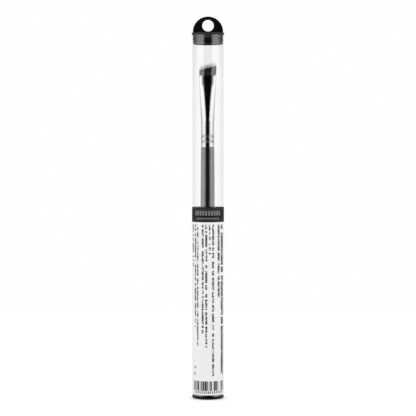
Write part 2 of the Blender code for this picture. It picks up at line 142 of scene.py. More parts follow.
class Nodes:
    """A node tree under construction, and the few groups of nodes that recur in it."""

    noise_roughness: float = 0.55
    noise_middle: Point = (0.3, 0.7)
    # Inputs of the Mix node that take the two colours.
    mix_colours: tuple[int, int] = (6, 7)

    def __init__(self, tree: bpy.types.NodeTree) -> None:
        """Take the tree to build in, and empty it."""
        self.tree = tree
        tree.nodes.clear()

    @classmethod
    def of(cls, owner: Material | bpy.types.World | bpy.types.Light) -> "Nodes":
        """Return the emptied nodes of a material, a world or a light."""
        owner.use_nodes = True
        return cls(owner.node_tree)

    def add(self, kind: str, feeds: Feeds = (), **settings: object) -> bpy.types.Node:
        """Add a node with its values, links and settings.

        Args:
            kind: The node's type name.
            feeds: What its inputs get, in order or by name or place: a source to link, or a value to set.
            settings: Properties of the node itself.

        Returns:
            The new node.
        """
        node = self.tree.nodes.new(kind)
        for name, value in settings.items():
            setattr(node, name, value)
        for key, value in feeds.items() if isinstance(feeds, dict) else enumerate(feeds):
            if isinstance(value, Source):
                output = value.outputs[0] if isinstance(value, bpy.types.Node) else value
                self.tree.links.new(output, node.inputs[key])
            else:
                node.inputs[key].default_value = value
        return node

    def folded(self, operation: str, parts: Sequence[Value]) -> Value:
        """Fold several numbers into one.

        Args:
            operation: What folds them, such as ADD or MULTIPLY.
            parts: The numbers, in order.

        Returns:
            The folded number.
        """
        total = parts[0]
        for part in parts[1:]:
            total = self.add("ShaderNodeMath", (total, part), operation=operation)
        return total

    def within(self, value: Source, low: float, high: float) -> Source:
        """Return 1 where a value lies between low and high, and 0 elsewhere."""
        return self.add("ShaderNodeMath", (value, (low + high) / 2, (high - low) / 2), operation="COMPARE")

    def tinted(self, share: Value, low: Source | str, high: Source | str) -> Source:
        """Blend two colours.

        Args:
            share: How far the blend lies on the way from low to high.
            low: Colour at 0, a source or a hex colour.
            high: Colour at 1, a source or a hex colour.

        Returns:
            The blended colour.
        """
        ends = [linear(end) if isinstance(end, str) else end for end in (low, high)]
        feeds = {0: share, **dict(zip(self.mix_colours, ends))}
        return self.add("ShaderNodeMix", feeds, data_type="RGBA").outputs[2]

    def pattern(self, size: float, grain: Grain = Grain.EVEN, detail: float = 3.0) -> Source:
        """Draw a noise pattern.

        Args:
            size: Size of its features, in millimetres.
            grain: Direction that it is drawn out in.
            detail: Number of finer layers.

        Returns:
            The pattern, from 0 to 1.
        """
        place = self.add("ShaderNodeTexCoord").outputs["Object"]
        drawn = self.add("ShaderNodeMapping", {"Vector": place, "Scale": grain.value})
        feeds = {"Vector": drawn, "Scale": 1 / (size * MM), "Detail": detail, "Roughness": self.noise_roughness}
        return self.add("ShaderNodeTexNoise", feeds)

    def spread(self, pattern: Source, low: float, high: float) -> Source:
        """Return a pattern's middle range spread from low to high."""
        return self.add("ShaderNodeMapRange", (pattern, *self.noise_middle, low, high))

    def bumped(self, pattern: Source, depth: float) -> Source:
        """Return the normal of a surface that a pattern raises by a depth, in millimetres."""
        feeds = {"Strength": 1.0, "Distance": depth * MM, "Height": pattern}
        return self.add("ShaderNodeBump", feeds)

    def height(self) -> Source:
        """Return the height of a point of the surface, in metres."""
        place = self.add("ShaderNodeTexCoord").outputs["Object"]
        return self.add("ShaderNodeSeparateXYZ", (place,)).outputs[2]

    def kept(self, shape: Source, **values: Source) -> Source:
        """Keep numbers at the points of a shape.

        Args:
            shape: The shape.
            values: The numbers, each under its name.

        Returns:
            The shape with the numbers kept.
        """
        for name, value in values.items():
            feeds = {"Geometry": shape, "Name": name, "Value": value}
            shape = self.add("GeometryNodeStoreNamedAttribute", feeds)
        return shape

    def column(self, corners: int, rings: int = 1) -> tuple[Source, Sequence[Source], Source]:
        """Make an upright column of unit size.

        Args:
            corners: Number of points round it.
            rings: Number of bands up its side.

        Returns:
            The shape, the place of its points in three parts, and their height from 0 to 1.
        """
        feeds = {"Vertices": corners, "Side Segments": rings, "Radius": 1.0, "Depth": 1.0}
        shape = self.add("GeometryNodeMeshCylinder", feeds)
        place = self.add("ShaderNodeSeparateXYZ", (self.add("GeometryNodeInputPosition"),)).outputs
        return shape, place, self.add("ShaderNodeMath", (place[2], 0.5), operation="ADD")

    def turned(self, shape: Source, place: Sequence[Source], radius: Source, height: Source) -> Source:
        """Move the points of a unit column to a radius and a height.

        Args:
            shape: The column.
            place: Place of its points, in three parts.
            radius: Their radius.
            height: Their height.

        Returns:
            The moved shape.
        """
        sides = [self.add("ShaderNodeMath", (side, radius), operation="MULTIPLY") for side in place[:2]]
        feeds = {"Geometry": shape, "Position": self.add("ShaderNodeCombineXYZ", (*sides, height))}
        return self.add("GeometryNodeSetPosition", feeds)


def arc(centre: Point, radius: float, start: float, end: float, steps: int) -> list[Point]:
    """Return points along a circular arc.

    Args:
        centre: Middle of the arc.
        radius: Its radius.
        start: First angle, in degrees.
        end: Last angle, in degrees.
        steps: Number of straight steps.

    Returns:
        The points, both ends included.
    """
    points = []
    for step in range(steps + 1):
        angle = math.radians(blend(start, end, step / steps))
        points.append((centre[0] + radius * math.cos(angle), centre[1] + radius * math.sin(angle)))
    return points


def skin(sections: Sequence[Section], segments: int, endless: bool = False) -> BMesh:
    """Close a skin through level oval sections.

    Args:
        sections: The sections in order; one of no width is a pole.
        segments: Number of points round each section.
        endless: Whether the last section joins the first, as on an open tube's wall.

    Returns:
        The closed mesh. Ends that aren't poles get a flat face.
    """
    bm = bmesh.new()
    turns = [math.tau * step / segments for step in range(segments)]
    rings = []
    for width, depth, height in sections:
        if width == 0:
            rings.append([bm.verts.new((0, 0, height))] * segments)
        else:
            points = [(width * math.cos(turn), depth * math.sin(turn), height) for turn in turns]
            rings.append([bm.verts.new(point) for point in points])
    pairs = list(zip(rings, rings[1:]))
    if endless:
        pairs.append((rings[-1], rings[0]))
    for lower, upper in pairs:
        for i in range(segments):
            j = (i + 1) % segments
            # A pole stands twice among the corners, and is taken once.
            bm.faces.new(list(dict.fromkeys((lower[i], lower[j], upper[j], upper[i]))))
    for ring in (rings[0], rings[-1]):
        if not endless and ring[0] is not ring[1]:
            bm.faces.new(ring)
    return bm


def turned(profile: Iterable[Point], segments: int, endless: bool = False) -> BMesh:
    """Return the closed mesh turned from a profile of (radius, height) points."""
    return skin([(radius, radius, height) for radius, height in profile], segments, endless)


def place_mesh(name: str, mesh: bpy.types.Mesh, sharp: float) -> Object:
    """Put a mesh in the scene as a new object at the origin.

    Args:
        name: Name of the object and its mesh.
        mesh: The mesh.
        sharp: Edges over this angle, in degrees, stay sharp, and the rest is smooth.

    Returns:
        The object.
    """
    mesh.name = name
    mesh.shade_smooth()
    mesh.set_sharp_from_angle(angle=math.radians(sharp))
    piece = bpy.data.objects.new(name, mesh)
    bpy.context.scene.collection.objects.link(piece)
    return piece


def make_piece(name: str, bm: BMesh, material: Material, sharp: float) -> Object:
    """Turn a mesh into an object at the origin, smooth but for its sharp edges.

    Args:
        name: The piece's name.
        bm: Its mesh, which is used up.
        material: Its finish.
        sharp: Edges that turn by more than this many degrees stay sharp.

    Returns:
        The new object.
    """
    bmesh.ops.recalc_face_normals(bm, faces=bm.faces)
    mesh = bpy.data.meshes.new(name)
    bm.to_mesh(mesh)
    bm.free()
    mesh.materials.append(material)
    return place_mesh(name, mesh, sharp)


def plain_copy(source: Object, name: str, sharp: float) -> Object:
    """Replace an object with modifiers by the plain mesh that they give.

    Args:
        source: The object, which is removed.
        name: Name of the object that takes its place.
        sharp: Edges that turn by more than this many degrees stay sharp.

    Returns:
        The plain object, at the origin.
    """
    bpy.context.view_layer.update()
    seen = source.evaluated_get(bpy.context.evaluated_depsgraph_get())
    mesh = bpy.data.meshes.new_from_object(seen)
    source.modifiers.clear()
    bpy.data.objects.remove(source, do_unlink=True)
    return place_mesh(name, mesh, sharp)


def named_sizes(part: object) -> dict[str, object]:
    """Return a part's lengths and shares under the names of its tree's inputs."""
    sizes = {item.name.replace("_", " ").capitalize(): getattr(part, item.name) for item in fields(part)}
    return {name: size for name, size in sizes.items() if isinstance(size, float)}


def sized_tree(name: str, sizes: Iterable[str], finishes: Iterable[str]) -> tuple[Nodes, dict[str, Source]]:
    """Start a geometry tree with named inputs.

    Args:
        name: The tree's name.
        sizes: Names of the inputs that take a length or a share.
        finishes: Names of the inputs that take a material.

    Returns:
        The tree's nodes, and its inputs by name.
    """
    tree = bpy.data.node_groups.new(name, "GeometryNodeTree")
    tree.interface.new_socket("Geometry", in_out="OUTPUT", socket_type="NodeSocketGeometry")
    for kind, names in (("NodeSocketFloat", sizes), ("NodeSocketMaterial", finishes)):
        for item in names:
            tree.interface.new_socket(item, in_out="INPUT", socket_type=kind)
    nodes = Nodes(tree)
    return nodes, {socket.name: socket for socket in nodes.add("NodeGroupInput").outputs}


def grown(name: str, tree: bpy.types.NodeTree, sizes: dict[str, object], sharp: float) -> Object:
    """Run a geometry tree and keep its result as a plain object.

    Args:
        name: The piece's name.
        tree: The tree, whose inputs have names.
        sizes: A value for each named input.
        sharp: Edges that turn by more than this many degrees stay sharp.

    Returns:
        The plain object.
    """
    carrier = bpy.data.objects.new(name + "_carrier", bpy.data.meshes.new(name + "_carrier"))
    modifier = carrier.modifiers.new(name, "NODES")
    modifier.node_group = tree
    for item in tree.interface.items_tree:
        if item.item_type == "SOCKET" and item.in_out == "INPUT":
            modifier[item.identifier] = sizes[item.name]
    bpy.context.scene.collection.objects.link(carrier)
    return plain_copy(carrier, name, sharp)


def seat(piece: Object, body: str, node: str) -> None:
    """Fix a piece to its body, in place of its plain node, and report it.

    Args:
        piece: The finished piece.
        body: The body of the frame that it rides on.
        node: The node of the frame that it stands for.
    """
    if body == BRUSH:
        piece.data.transform(Matrix.Translation((BRUSH_ASIDE, 0.0, 0.0)))
    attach(piece, body)
    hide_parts(node)
    LOG.info("%s stands for %s on body %s, %d faces", piece.name, node, body, len(piece.data.polygons))


@dataclass(frozen=True)
class Finish:
    """One real material and how its surface was made."""

    name: str

    def material(self) -> Material:
        """Make the finish's material.

        Returns:
            The node material.
        """
        made = bpy.data.materials.new(self.name)
        nodes = Nodes.of(made)
        nodes.add("ShaderNodeOutputMaterial", {"Surface": self.surface(nodes)})
        return made

    def surface(self, nodes: Nodes) -> Source:
        """Return the finish's shader."""
        raise NotImplementedError


@dataclass(frozen=True)
class MouldedPlastic(Finish):
    """Black polypropylene, injection moulded and polished, with a lighter, rougher band at set heights."""

    dark: str = "#0b0b0c"
    light: str = "#141415"
    scuffed: str = "#2c2c2e"
    polish: Point = (0.15, 0.21)
    scuff: Point = (0.36, 0.42)
    scuffed_band: Point = (-1.0, -1.0)
    dull_band: Point = (-1.0, -1.0)
    dulled: float = 0.45
    gloss: str = "#ffffff"
    dull_gloss: str = "#6a6a6a"
    ior: float = 1.49
    grain_size: float = 0.45
    grain_depth: float = 0.006
    flow_size: float = 5.0

    def surface(self, nodes: Nodes) -> Source:
        """Lay out the moulded plastic's shader.

        Args:
            nodes: Nodes of the material.

        Returns:
            The shader.
        """
        flow = nodes.pattern(self.flow_size)
        # The real mould grain is near 0.05 mm; it is drawn at about one render pixel, so that it shows.
        grain = nodes.pattern(self.grain_size, detail=2.0)
        height = nodes.height()
        # A band at set heights is lighter in colour and rougher than the rest.
        band = nodes.within(height, *self.scuffed_band)
        # In the dull band the plastic is rougher and its gloss is dimmed by a darker tint.
        dull = nodes.within(height, *self.dull_band)
        polish, scuff = nodes.spread(flow, *self.polish), nodes.spread(flow, *self.scuff)
        roughness = nodes.add("ShaderNodeMix", {"Factor": band, "A": polish, "B": scuff})
        return nodes.add("ShaderNodeBsdfPrincipled", {
            "Base Color": nodes.tinted(band, nodes.tinted(flow, self.dark, self.light), self.scuffed),
            "Roughness": nodes.add("ShaderNodeMix", {"Factor": dull, "A": roughness, "B": self.dulled}),
            "Specular Tint": nodes.tinted(dull, self.gloss, self.dull_gloss),
            "Normal": nodes.bumped(grain, self.grain_depth),
            "IOR": self.ior,
        })


@dataclass(frozen=True)
class ExtrudedClearPlastic(Finish):
    """Clear rigid plastic, extruded as a thin tube: near glass, with faint lines along its length."""

    tint: str = "#fbfbfb"
    rim_tint: str = "#f7f7f7"
    tint_power: float = 2.0
    gloss: str = "#ffffff"
    gloss_roughness: float = 0.035
    face_on: float = 0.05
    rim_limit: float = 0.10
    rim_power: float = 5.0
    line_size: float = 0.9
    line_depth: float = 0.0010

    def surface(self, nodes: Nodes) -> Source:
        """Lay out the clear plastic's shader.

        The wall's two faces are drawn without bending the view, so the gloss of both is given to the
        face that is seen from outside, and it rises towards a slanting view by Schlick's rule.

        Args:
            nodes: Nodes of the material.

        Returns:
            The shader.
        """
        normal = nodes.bumped(nodes.pattern(self.line_size, Grain.LENGTHWISE, 2.0), self.line_depth)
        feeds = {"Color": linear(self.gloss), "Roughness": self.gloss_roughness, "Normal": normal}
        shine = nodes.add("ShaderNodeBsdfAnisotropic", feeds)
        slant = nodes.add("ShaderNodeLayerWeight", {"Normal": normal}).outputs["Facing"]
        rising = nodes.add("ShaderNodeMath", (slant, self.tint_power), operation="POWER")
        tint = nodes.tinted(rising, self.tint, self.rim_tint)
        clear = nodes.add("ShaderNodeBsdfTransparent", {"Color": tint})
        rising = nodes.add("ShaderNodeMath", (slant, self.rim_power), operation="POWER")
        rim = nodes.add("ShaderNodeMapRange", (rising, 0.0, 1.0, self.face_on, self.rim_limit))
        behind = nodes.add("ShaderNodeNewGeometry").outputs["Backfacing"]
        ahead = nodes.add("ShaderNodeMath", (1.0, behind), operation="SUBTRACT")
        share = nodes.add("ShaderNodeMath", (rim, ahead), operation="MULTIPLY")
        return nodes.add("ShaderNodeMixShader", (share, clear, shine))


@dataclass(frozen=True)
class GlossLacquer(Finish):
    """Birch, turned, sanded and dipped in black lacquer: a deep wet gloss with a faint orange peel."""

    dark: str = "#050505"
    light: str = "#0d0c0b"
    roughness: Point = (0.30, 0.42)
    wood_size: float = 0.6
    peel_size: float = 1.6
    peel_depth: float = 0.003
    coat_roughness: float = 0.04
    coat_ior: float = 1.9

    def surface(self, nodes: Nodes) -> Source:
        """Lay out the lacquer's shader.

        Args:
            nodes: Nodes of the material.

        Returns:
            The shader.
        """
        wood = nodes.pattern(self.wood_size, Grain.LENGTHWISE, 4.0)
        peel = nodes.bumped(nodes.pattern(self.peel_size, detail=1.0), self.peel_depth)
        return nodes.add("ShaderNodeBsdfPrincipled", {
            "Base Color": nodes.tinted(wood, self.dark, self.light),
            "Roughness": nodes.spread(wood, *self.roughness),
            "Normal": peel,
            "Coat Weight": 1.0,
            "Coat Roughness": self.coat_roughness,
            "Coat IOR": self.coat_ior,
            "Coat Normal": peel,
        })


@dataclass(frozen=True)
class PlatedMetal(Finish):
    """Brass tube, drawn, pressed and nickel plated: a bright mirror with faint drawing lines.

    The crimping rolls leave the rings duller, and their colour is darkened with painted shade that stands for
    the shade in the deeper grooves of real crimps.
    """

    dark: str = "#aaaaaa"
    light: str = "#bababa"
    rolled: str = "#9c9c9c"
    roughness: Point = (0.07, 0.12)
    rolled_roughness: float = 0.27
    rings: tuple[Point, ...] = ()
    line_size: float = 0.5
    line_depth: float = 0.0015

    def surface(self, nodes: Nodes) -> Source:
        """Lay out the plated metal's shader.

        Args:
            nodes: Nodes of the material.

        Returns:
            The shader.
        """
        lines = nodes.pattern(self.line_size, Grain.LENGTHWISE)
        height = nodes.height()
        colour = nodes.tinted(lines, self.dark, self.light)
        roughness = nodes.spread(lines, *self.roughness)
        for low, high in self.rings:
            ring = nodes.within(height, low, high)
            # Painted shade: a crimp ring's colour is darkened to stand for the shade in a deeper groove; its
            # roughness is the rolled mark's own.
            colour = nodes.tinted(ring, colour, self.rolled)
            feeds = {"Factor": ring, "A": roughness, "B": self.rolled_roughness}
            roughness = nodes.add("ShaderNodeMix", feeds)
        return nodes.add("ShaderNodeBsdfPrincipled", {
            "Base Color": colour,
            "Metallic": 1.0,
            "Roughness": roughness,
            "Normal": nodes.bumped(lines, self.line_depth),
        })


@dataclass(frozen=True)
class SetResin(Finish):
    """Two-part epoxy, poured and set: amber, glossy, a little cloudy."""

    dark: str = "#6f5428"
    light: str = "#a8874a"
    roughness: Point = (0.18, 0.30)
    cloud_size: float = 1.2
    cloud_depth: float = 0.01

    def surface(self, nodes: Nodes) -> Source:
        """Lay out the resin's shader.

        Args:
            nodes: Nodes of the material.

        Returns:
            The shader.
        """
        cloud = nodes.pattern(self.cloud_size)
        return nodes.add("ShaderNodeBsdfPrincipled", {
            "Base Color": nodes.tinted(cloud, self.dark, self.light),
            "Roughness": nodes.spread(cloud, *self.roughness),
            "Normal": nodes.bumped(cloud, self.cloud_depth),
        })


@dataclass(frozen=True)
class BristleFilament(Finish):
    """Polyester filament, tapered, its length dyed dark by dipping: satin black with undyed, pale tips."""

    dyed_dark: str = "#171513"
    dyed_light: str = "#4c4743"
    tip: str = "#f4f3f1"
    dye_edge: float = 2.2
    dye_fade: float = 0.5
    roughness: Point = (0.16, 0.24)
    ior: float = 2.1
    half_width: float = 3.78
    roundness: float = 1.1
    flat_share: float = 0.28
    lean_back: float = 0.06
    own_share: float = 0.08

    def surface(self, nodes: Nodes) -> Source:
        """Lay out the filament's shader.

        Args:
            nodes: Nodes of the material.

        Returns:
            The shader.
        """
        shade, left = [
            nodes.add("ShaderNodeAttribute", attribute_name=name).outputs["Fac"]
            for name in ("strand_shade", "tip_distance")
        ]
        edges = [(self.dye_edge + side * self.dye_fade / 2) * MM for side in (-1, 1)]
        depth = nodes.add("ShaderNodeMapRange", (left, *edges))
        return nodes.add("ShaderNodeBsdfPrincipled", {
            "Base Color": nodes.tinted(depth, self.tip, nodes.tinted(shade, self.dyed_dark, self.dyed_light)),
            "Roughness": nodes.spread(shade, *self.roughness),
            "Normal": self.bundle_normal(nodes),
            "IOR": self.ior,
        })

    def bundle_normal(self, nodes: Nodes) -> Source:
        """Turn the filament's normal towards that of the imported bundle, which shines as one body.

        Args:
            nodes: Nodes of the material.

        Returns:
            A normal between the two.
        """
        root = nodes.add("ShaderNodeAttribute", attribute_name="root").outputs["Vector"]
        across, deep, _ = nodes.add("ShaderNodeSeparateXYZ", (root,)).outputs
        across = nodes.add("ShaderNodeMath", (across, self.half_width * MM), operation="DIVIDE")
        square = nodes.add("ShaderNodeMath", (across, across), operation="MULTIPLY")
        rest = nodes.add("ShaderNodeMath", (1.0, square), operation="SUBTRACT", use_clamp=True)
        rest = nodes.add("ShaderNodeMath", (rest,), operation="SQRT")
        way, side = [nodes.add("ShaderNodeMath", (value,), operation="SIGN") for value in (deep, across)]
        ahead = nodes.add("ShaderNodeMath", (rest, way), operation="MULTIPLY")
        size = nodes.add("ShaderNodeMath", (across,), operation="ABSOLUTE")
        size = nodes.add("ShaderNodeMapRange", (size, self.flat_share, 1.0, 0.0, self.roundness))
        aside = nodes.add("ShaderNodeMath", (size, side), operation="MULTIPLY")
        body = nodes.add("ShaderNodeCombineXYZ", (aside, ahead, self.lean_back))
        body = nodes.add("ShaderNodeVectorMath", (body,), operation="NORMALIZE")
        spaces = {"vector_type": "NORMAL", "convert_from": "OBJECT", "convert_to": "WORLD"}
        body = nodes.add("ShaderNodeVectorTransform", (body,), **spaces)
        own = nodes.add("ShaderNodeNewGeometry").outputs["Normal"]
        both = nodes.add("ShaderNodeVectorMath", (own, (self.own_share,) * 3, body), operation="MULTIPLY_ADD")
        return nodes.add("ShaderNodeVectorMath", (both,), operation="NORMALIZE")


class Sheet:
    """The film's print under construction, in millimetres round the film from its front line and up."""

    def __init__(self, nodes: Nodes) -> None:
        """Take the nodes of the film's material and read its print map.

        Args:
            nodes: Nodes of the material.
        """
        self.nodes = nodes
        place = nodes.add("ShaderNodeUVMap", uv_map="print_mm")
        self.across, self.up, _ = nodes.add("ShaderNodeSeparateXYZ", (place,)).outputs

    def rectangle(self, across: Point, up: Point) -> Source:
        """Return 1 inside a rectangle given by its sides, and 0 outside."""
        sides = (self.nodes.within(self.across, *across), self.nodes.within(self.up, *up))
        return self.nodes.add("ShaderNodeMath", sides, operation="MULTIPLY")

    def frame(self, centre: Point, half: Point, width: float) -> Source:
        """Draw an empty frame.

        Args:
            centre: Its middle.
            half: Half its width and half its height.
            width: Width of its line.

        Returns:
            1 on the frame's line, and 0 elsewhere.
        """
        masks = []
        for inset in (0.0, width):
            sides = [(middle - size + inset, middle + size - inset) for middle, size in zip(centre, half)]
            masks.append(self.rectangle(*sides))
        return self.nodes.add("ShaderNodeMath", masks, operation="SUBTRACT")

    def counted(self, value: Source, pitch: float) -> Source:
        """Return the whole number of pitches in a length."""
        steps = self.nodes.add("ShaderNodeMath", (value, pitch), operation="DIVIDE")
        return self.nodes.add("ShaderNodeMath", (steps,), operation="FLOOR")

    def comb(self, value: Source, pitch: float, share: float) -> Source:
        """Draw the first share of each pitch of a length.

        Args:
            value: Place along the length.
            pitch: Length of one repeat.
            share: Share of each pitch that is drawn.

        Returns:
            1 where it is drawn, and 0 elsewhere.
        """
        steps = self.nodes.add("ShaderNodeMath", (value, pitch), operation="DIVIDE")
        within = self.nodes.add("ShaderNodeMath", (steps,), operation="FRACT")
        return self.nodes.add("ShaderNodeMath", (within, share), operation="LESS_THAN")

    def chance(self, first: Value, second: Value, limit: Value) -> Source:
        """Pick a fixed share of all pairs of whole numbers by chance.

        Args:
            first: One number of the pair.
            second: The other number.
            limit: Share of the pairs that are picked.

        Returns:
            1 for a picked pair, and 0 for the rest.
        """
        pair = self.nodes.add("ShaderNodeCombineXYZ", (first, second))
        noise = self.nodes.add("ShaderNodeTexWhiteNoise", {"Vector": pair}, noise_dimensions="2D")
        return self.nodes.add("ShaderNodeMath", (noise, limit), operation="LESS_THAN")


@dataclass(frozen=True)
class SpeckColumn:
    """One upright column of fine specks: its place round the tube, its lower end, width and weight."""

    across: float
    end: float
    width: float
    weight: float


@dataclass(frozen=True)
class BlockRow:
    """One row of plain even blocks: its sides, the pitch of its blocks and how pale they are."""

    across: Point
    up: Point
    pitch: float
    tone: float


@dataclass(frozen=True)
class PrintedFilm(Finish):
    """White polypropylene film, printed black and matt laminated. The print is generic marks."""

    white: str = "#f6f6f6"
    white_shade: str = "#f1f1f1"
    ink: str = "#101011"
    roughness: Point = (0.48, 0.58)
    gloss_level: float = 0.12
    mottle_size: float = 3.0
    wave_size: float = 7.0
    wave_depth: float = 0.02
    line: float = 0.3
    band: str = "#100f0f"
    band_mark: str = "#b4b2ae"
    band_area: tuple[Point, Point] = ((-26.0, 26.0), (88.95, 100.0))
    band_frame: tuple[Point, Point] = ((0.0, 92.8), (10.2, 2.9))
    frame_share: float = 0.12
    band_rows: tuple[BlockRow, ...] = (
        BlockRow((-7.25, 7.25), (92.3, 94.7), 1.45, 0.42),
        BlockRow((-6.3, 6.3), (90.4, 91.2), 0.9, 0.40),
    )
    block_share: float = 0.68
    bar_area: tuple[Point, Point] = ((-8.5, 9.9), (4.42, 9.21))
    bar_module: float = 0.195
    bar_share: float = 0.62
    tick_area: tuple[Point, Point] = ((-7.6, 9.0), (2.96, 4.22))
    tick_pitch: float = 1.1
    tick_share: float = 0.45
    small_frames: tuple[Point, ...] = ((-7.31, 16.1), (-7.74, 12.8))
    small_half: float = 0.55
    print_top: float = 87.7
    run_pitch: float = 0.90
    run_share: float = 0.9
    run_chance: float = 0.88
    cell_across: float = 0.45
    cell_along: float = 0.60
    columns: tuple[SpeckColumn, ...] = (
        SpeckColumn(-9.33, 66.8, 1.25, 0.78),
        SpeckColumn(-7.19, 36.3, 1.02, 0.78),
        SpeckColumn(-5.61, 26.8, 0.92, 0.75),
        SpeckColumn(-2.7, 33.3, 1.02, 0.76),
        SpeckColumn(-0.89, 26.3, 1.02, 0.72),
        SpeckColumn(0.87, 72.8, 0.88, 0.75),
        SpeckColumn(2.57, 11.9, 1.05, 0.74),
        SpeckColumn(5.85, 50.9, 1.35, 0.86),
        SpeckColumn(8.4, 12.2, 1.95, 0.90),
    )

    def speck_columns(self, sheet: Sheet) -> Source:
        """Print the upright columns: fine uneven specks in runs of uneven length.

        Args:
            sheet: The film's print map.

        Returns:
            Their ink, from 0 to 1.
        """
        nodes = sheet.nodes
        numbers, weights = [], []
        for number, column in enumerate(self.columns, start=1):
            half = column.width / 2
            mask = sheet.rectangle((column.across - half, column.across + half), (column.end, self.print_top))
            numbers.append(nodes.add("ShaderNodeMath", (mask, float(number)), operation="MULTIPLY"))
            weights.append(nodes.add("ShaderNodeMath", (mask, column.weight), operation="MULTIPLY"))
        cells = (sheet.counted(sheet.across, self.cell_across), sheet.counted(sheet.up, self.cell_along))
        specks = sheet.chance(*cells, nodes.folded("ADD", weights))
        steps = sheet.counted(sheet.up, self.run_pitch)
        runs = sheet.chance(nodes.folded("ADD", numbers), steps, self.run_chance)
        gaps = sheet.comb(sheet.up, self.run_pitch, self.run_share)
        return nodes.folded("MULTIPLY", (specks, runs, gaps))

    def plain_bars(self, sheet: Sheet) -> Source:
        """Print the marks at the foot: a block of plain bars, a row of even ticks and two empty frames.

        Args:
            sheet: The film's print map.

        Returns:
            Their ink, from 0 to 1.
        """
        bars = sheet.chance(sheet.counted(sheet.across, self.bar_module), 0.0, self.bar_share)
        ticks = sheet.comb(sheet.across, self.tick_pitch, self.tick_share)
        marks = [
            sheet.nodes.add("ShaderNodeMath", (sheet.rectangle(*area), ink), operation="MULTIPLY")
            for area, ink in ((self.bar_area, bars), (self.tick_area, ticks))
        ]
        for centre in self.small_frames:
            marks.append(sheet.frame(centre, (self.small_half, self.small_half), self.line))
        return sheet.nodes.folded("MAXIMUM", marks)

    def band_marks(self, sheet: Sheet) -> Source:
        """Print the marks of the dark band: a dim frame round two rows of plain even blocks.

        Args:
            sheet: The film's print map.

        Returns:
            Their pale print, from 0 to 1.
        """
        frame = sheet.frame(*self.band_frame, self.line)
        marks = [sheet.nodes.add("ShaderNodeMath", (frame, self.frame_share), operation="MULTIPLY")]
        for row in self.band_rows:
            blocks = sheet.comb(sheet.across, row.pitch, self.block_share)
            parts = (sheet.rectangle(row.across, row.up), blocks, row.tone)
            marks.append(sheet.nodes.folded("MULTIPLY", parts))
        return sheet.nodes.folded("MAXIMUM", marks)

    def surface(self, nodes: Nodes) -> Source:
        """Lay out the printed film's shader.

        Args:
            nodes: Nodes of the material.

        Returns:
            The shader.
        """
        sheet = Sheet(nodes)
        ink = nodes.folded("MAXIMUM", (self.speck_columns(sheet), self.plain_bars(sheet)))
        mottle = nodes.pattern(self.mottle_size)
        printed = nodes.tinted(ink, nodes.tinted(mottle, self.white_shade, self.white), self.ink)
        band = nodes.tinted(self.band_marks(sheet), self.band, self.band_mark)
        return nodes.add("ShaderNodeBsdfPrincipled", {
            "Base Color": nodes.tinted(sheet.rectangle(*self.band_area), printed, band),
            "Roughness": nodes.spread(mottle, *self.roughness),
            "Normal": nodes.bumped(nodes.pattern(self.wave_size, detail=2.0), self.wave_depth),
            "Specular IOR Level": self.gloss_level,
        })


@dataclass
class BottomPlug:
    """Moulded end plug: a flange that the tube stands on, and a hollow skirt inside the tube."""

    flange_radius: float = 8.0 * MM
    flange_height: float = 1.2 * MM
    edge_round: float = 0.5 * MM
    top_round: float = 0.2 * MM
    skirt_radius: float = 7.55 * MM
    skirt_wall: float = 1.0 * MM
    skirt_top: float = 9.2 * MM
    lead_in: float = 0.3 * MM
    floor_height: float = 1.4 * MM
    inner_round: float = 0.4 * MM
    gate_radius: float = 0.9 * MM
    gate_share: float = 0.7
    gate_depth: float = 0.12 * MM
    edge_steps: int = 8
    round_steps: int = 4
    segments: int = 144
    sharp: int = 35
    # Painted shade: the flange's gloss is dimmed further than elsewhere, standing for the shadowed floor near
    # the foot that it mirrors.
    dull_gloss: str = "#303030"

    def profile(self) -> list[Point]:
        """Lay out the plug's outline.

        Returns:
            Its points from the gate mark underneath, up the outside and down the inside.
        """
        edge = self.flange_radius - self.edge_round
        inner = self.skirt_radius - self.skirt_wall
        points = [(0.0, self.gate_depth), (self.gate_radius * self.gate_share, self.gate_depth)]
        points.append((self.gate_radius, 0.0))
        points += arc((edge, self.edge_round), self.edge_round, -90, 0, self.edge_steps)
        top = self.flange_height - self.top_round
        points += arc((self.flange_radius - self.top_round, top), self.top_round, 0, 90, self.round_steps)
        points += [(self.skirt_radius, self.flange_height), (self.skirt_radius, self.skirt_top - self.lead_in)]
        points += [(self.skirt_radius - self.lead_in, self.skirt_top), (inner, self.skirt_top)]
        centre = (inner - self.inner_round, self.floor_height + self.inner_round)
        points += arc(centre, self.inner_round, 0, -90, self.round_steps)
        return [*points, (0.0, self.floor_height)]

    def build(self) -> None:
        """Make the plug and fix it to the base."""
        dull = (-self.flange_height, self.flange_height)
        # The flange band's dimmed gloss is painted shade for the shadowed floor it mirrors.
        finish = MouldedPlastic("Polypropylene_black_moulded_plug", dull_band=dull, dull_gloss=self.dull_gloss)
        piece = make_piece("end_plug", turned(self.profile(), self.segments), finish.material(), self.sharp)
        seat(piece, "base", "bottom_plug")


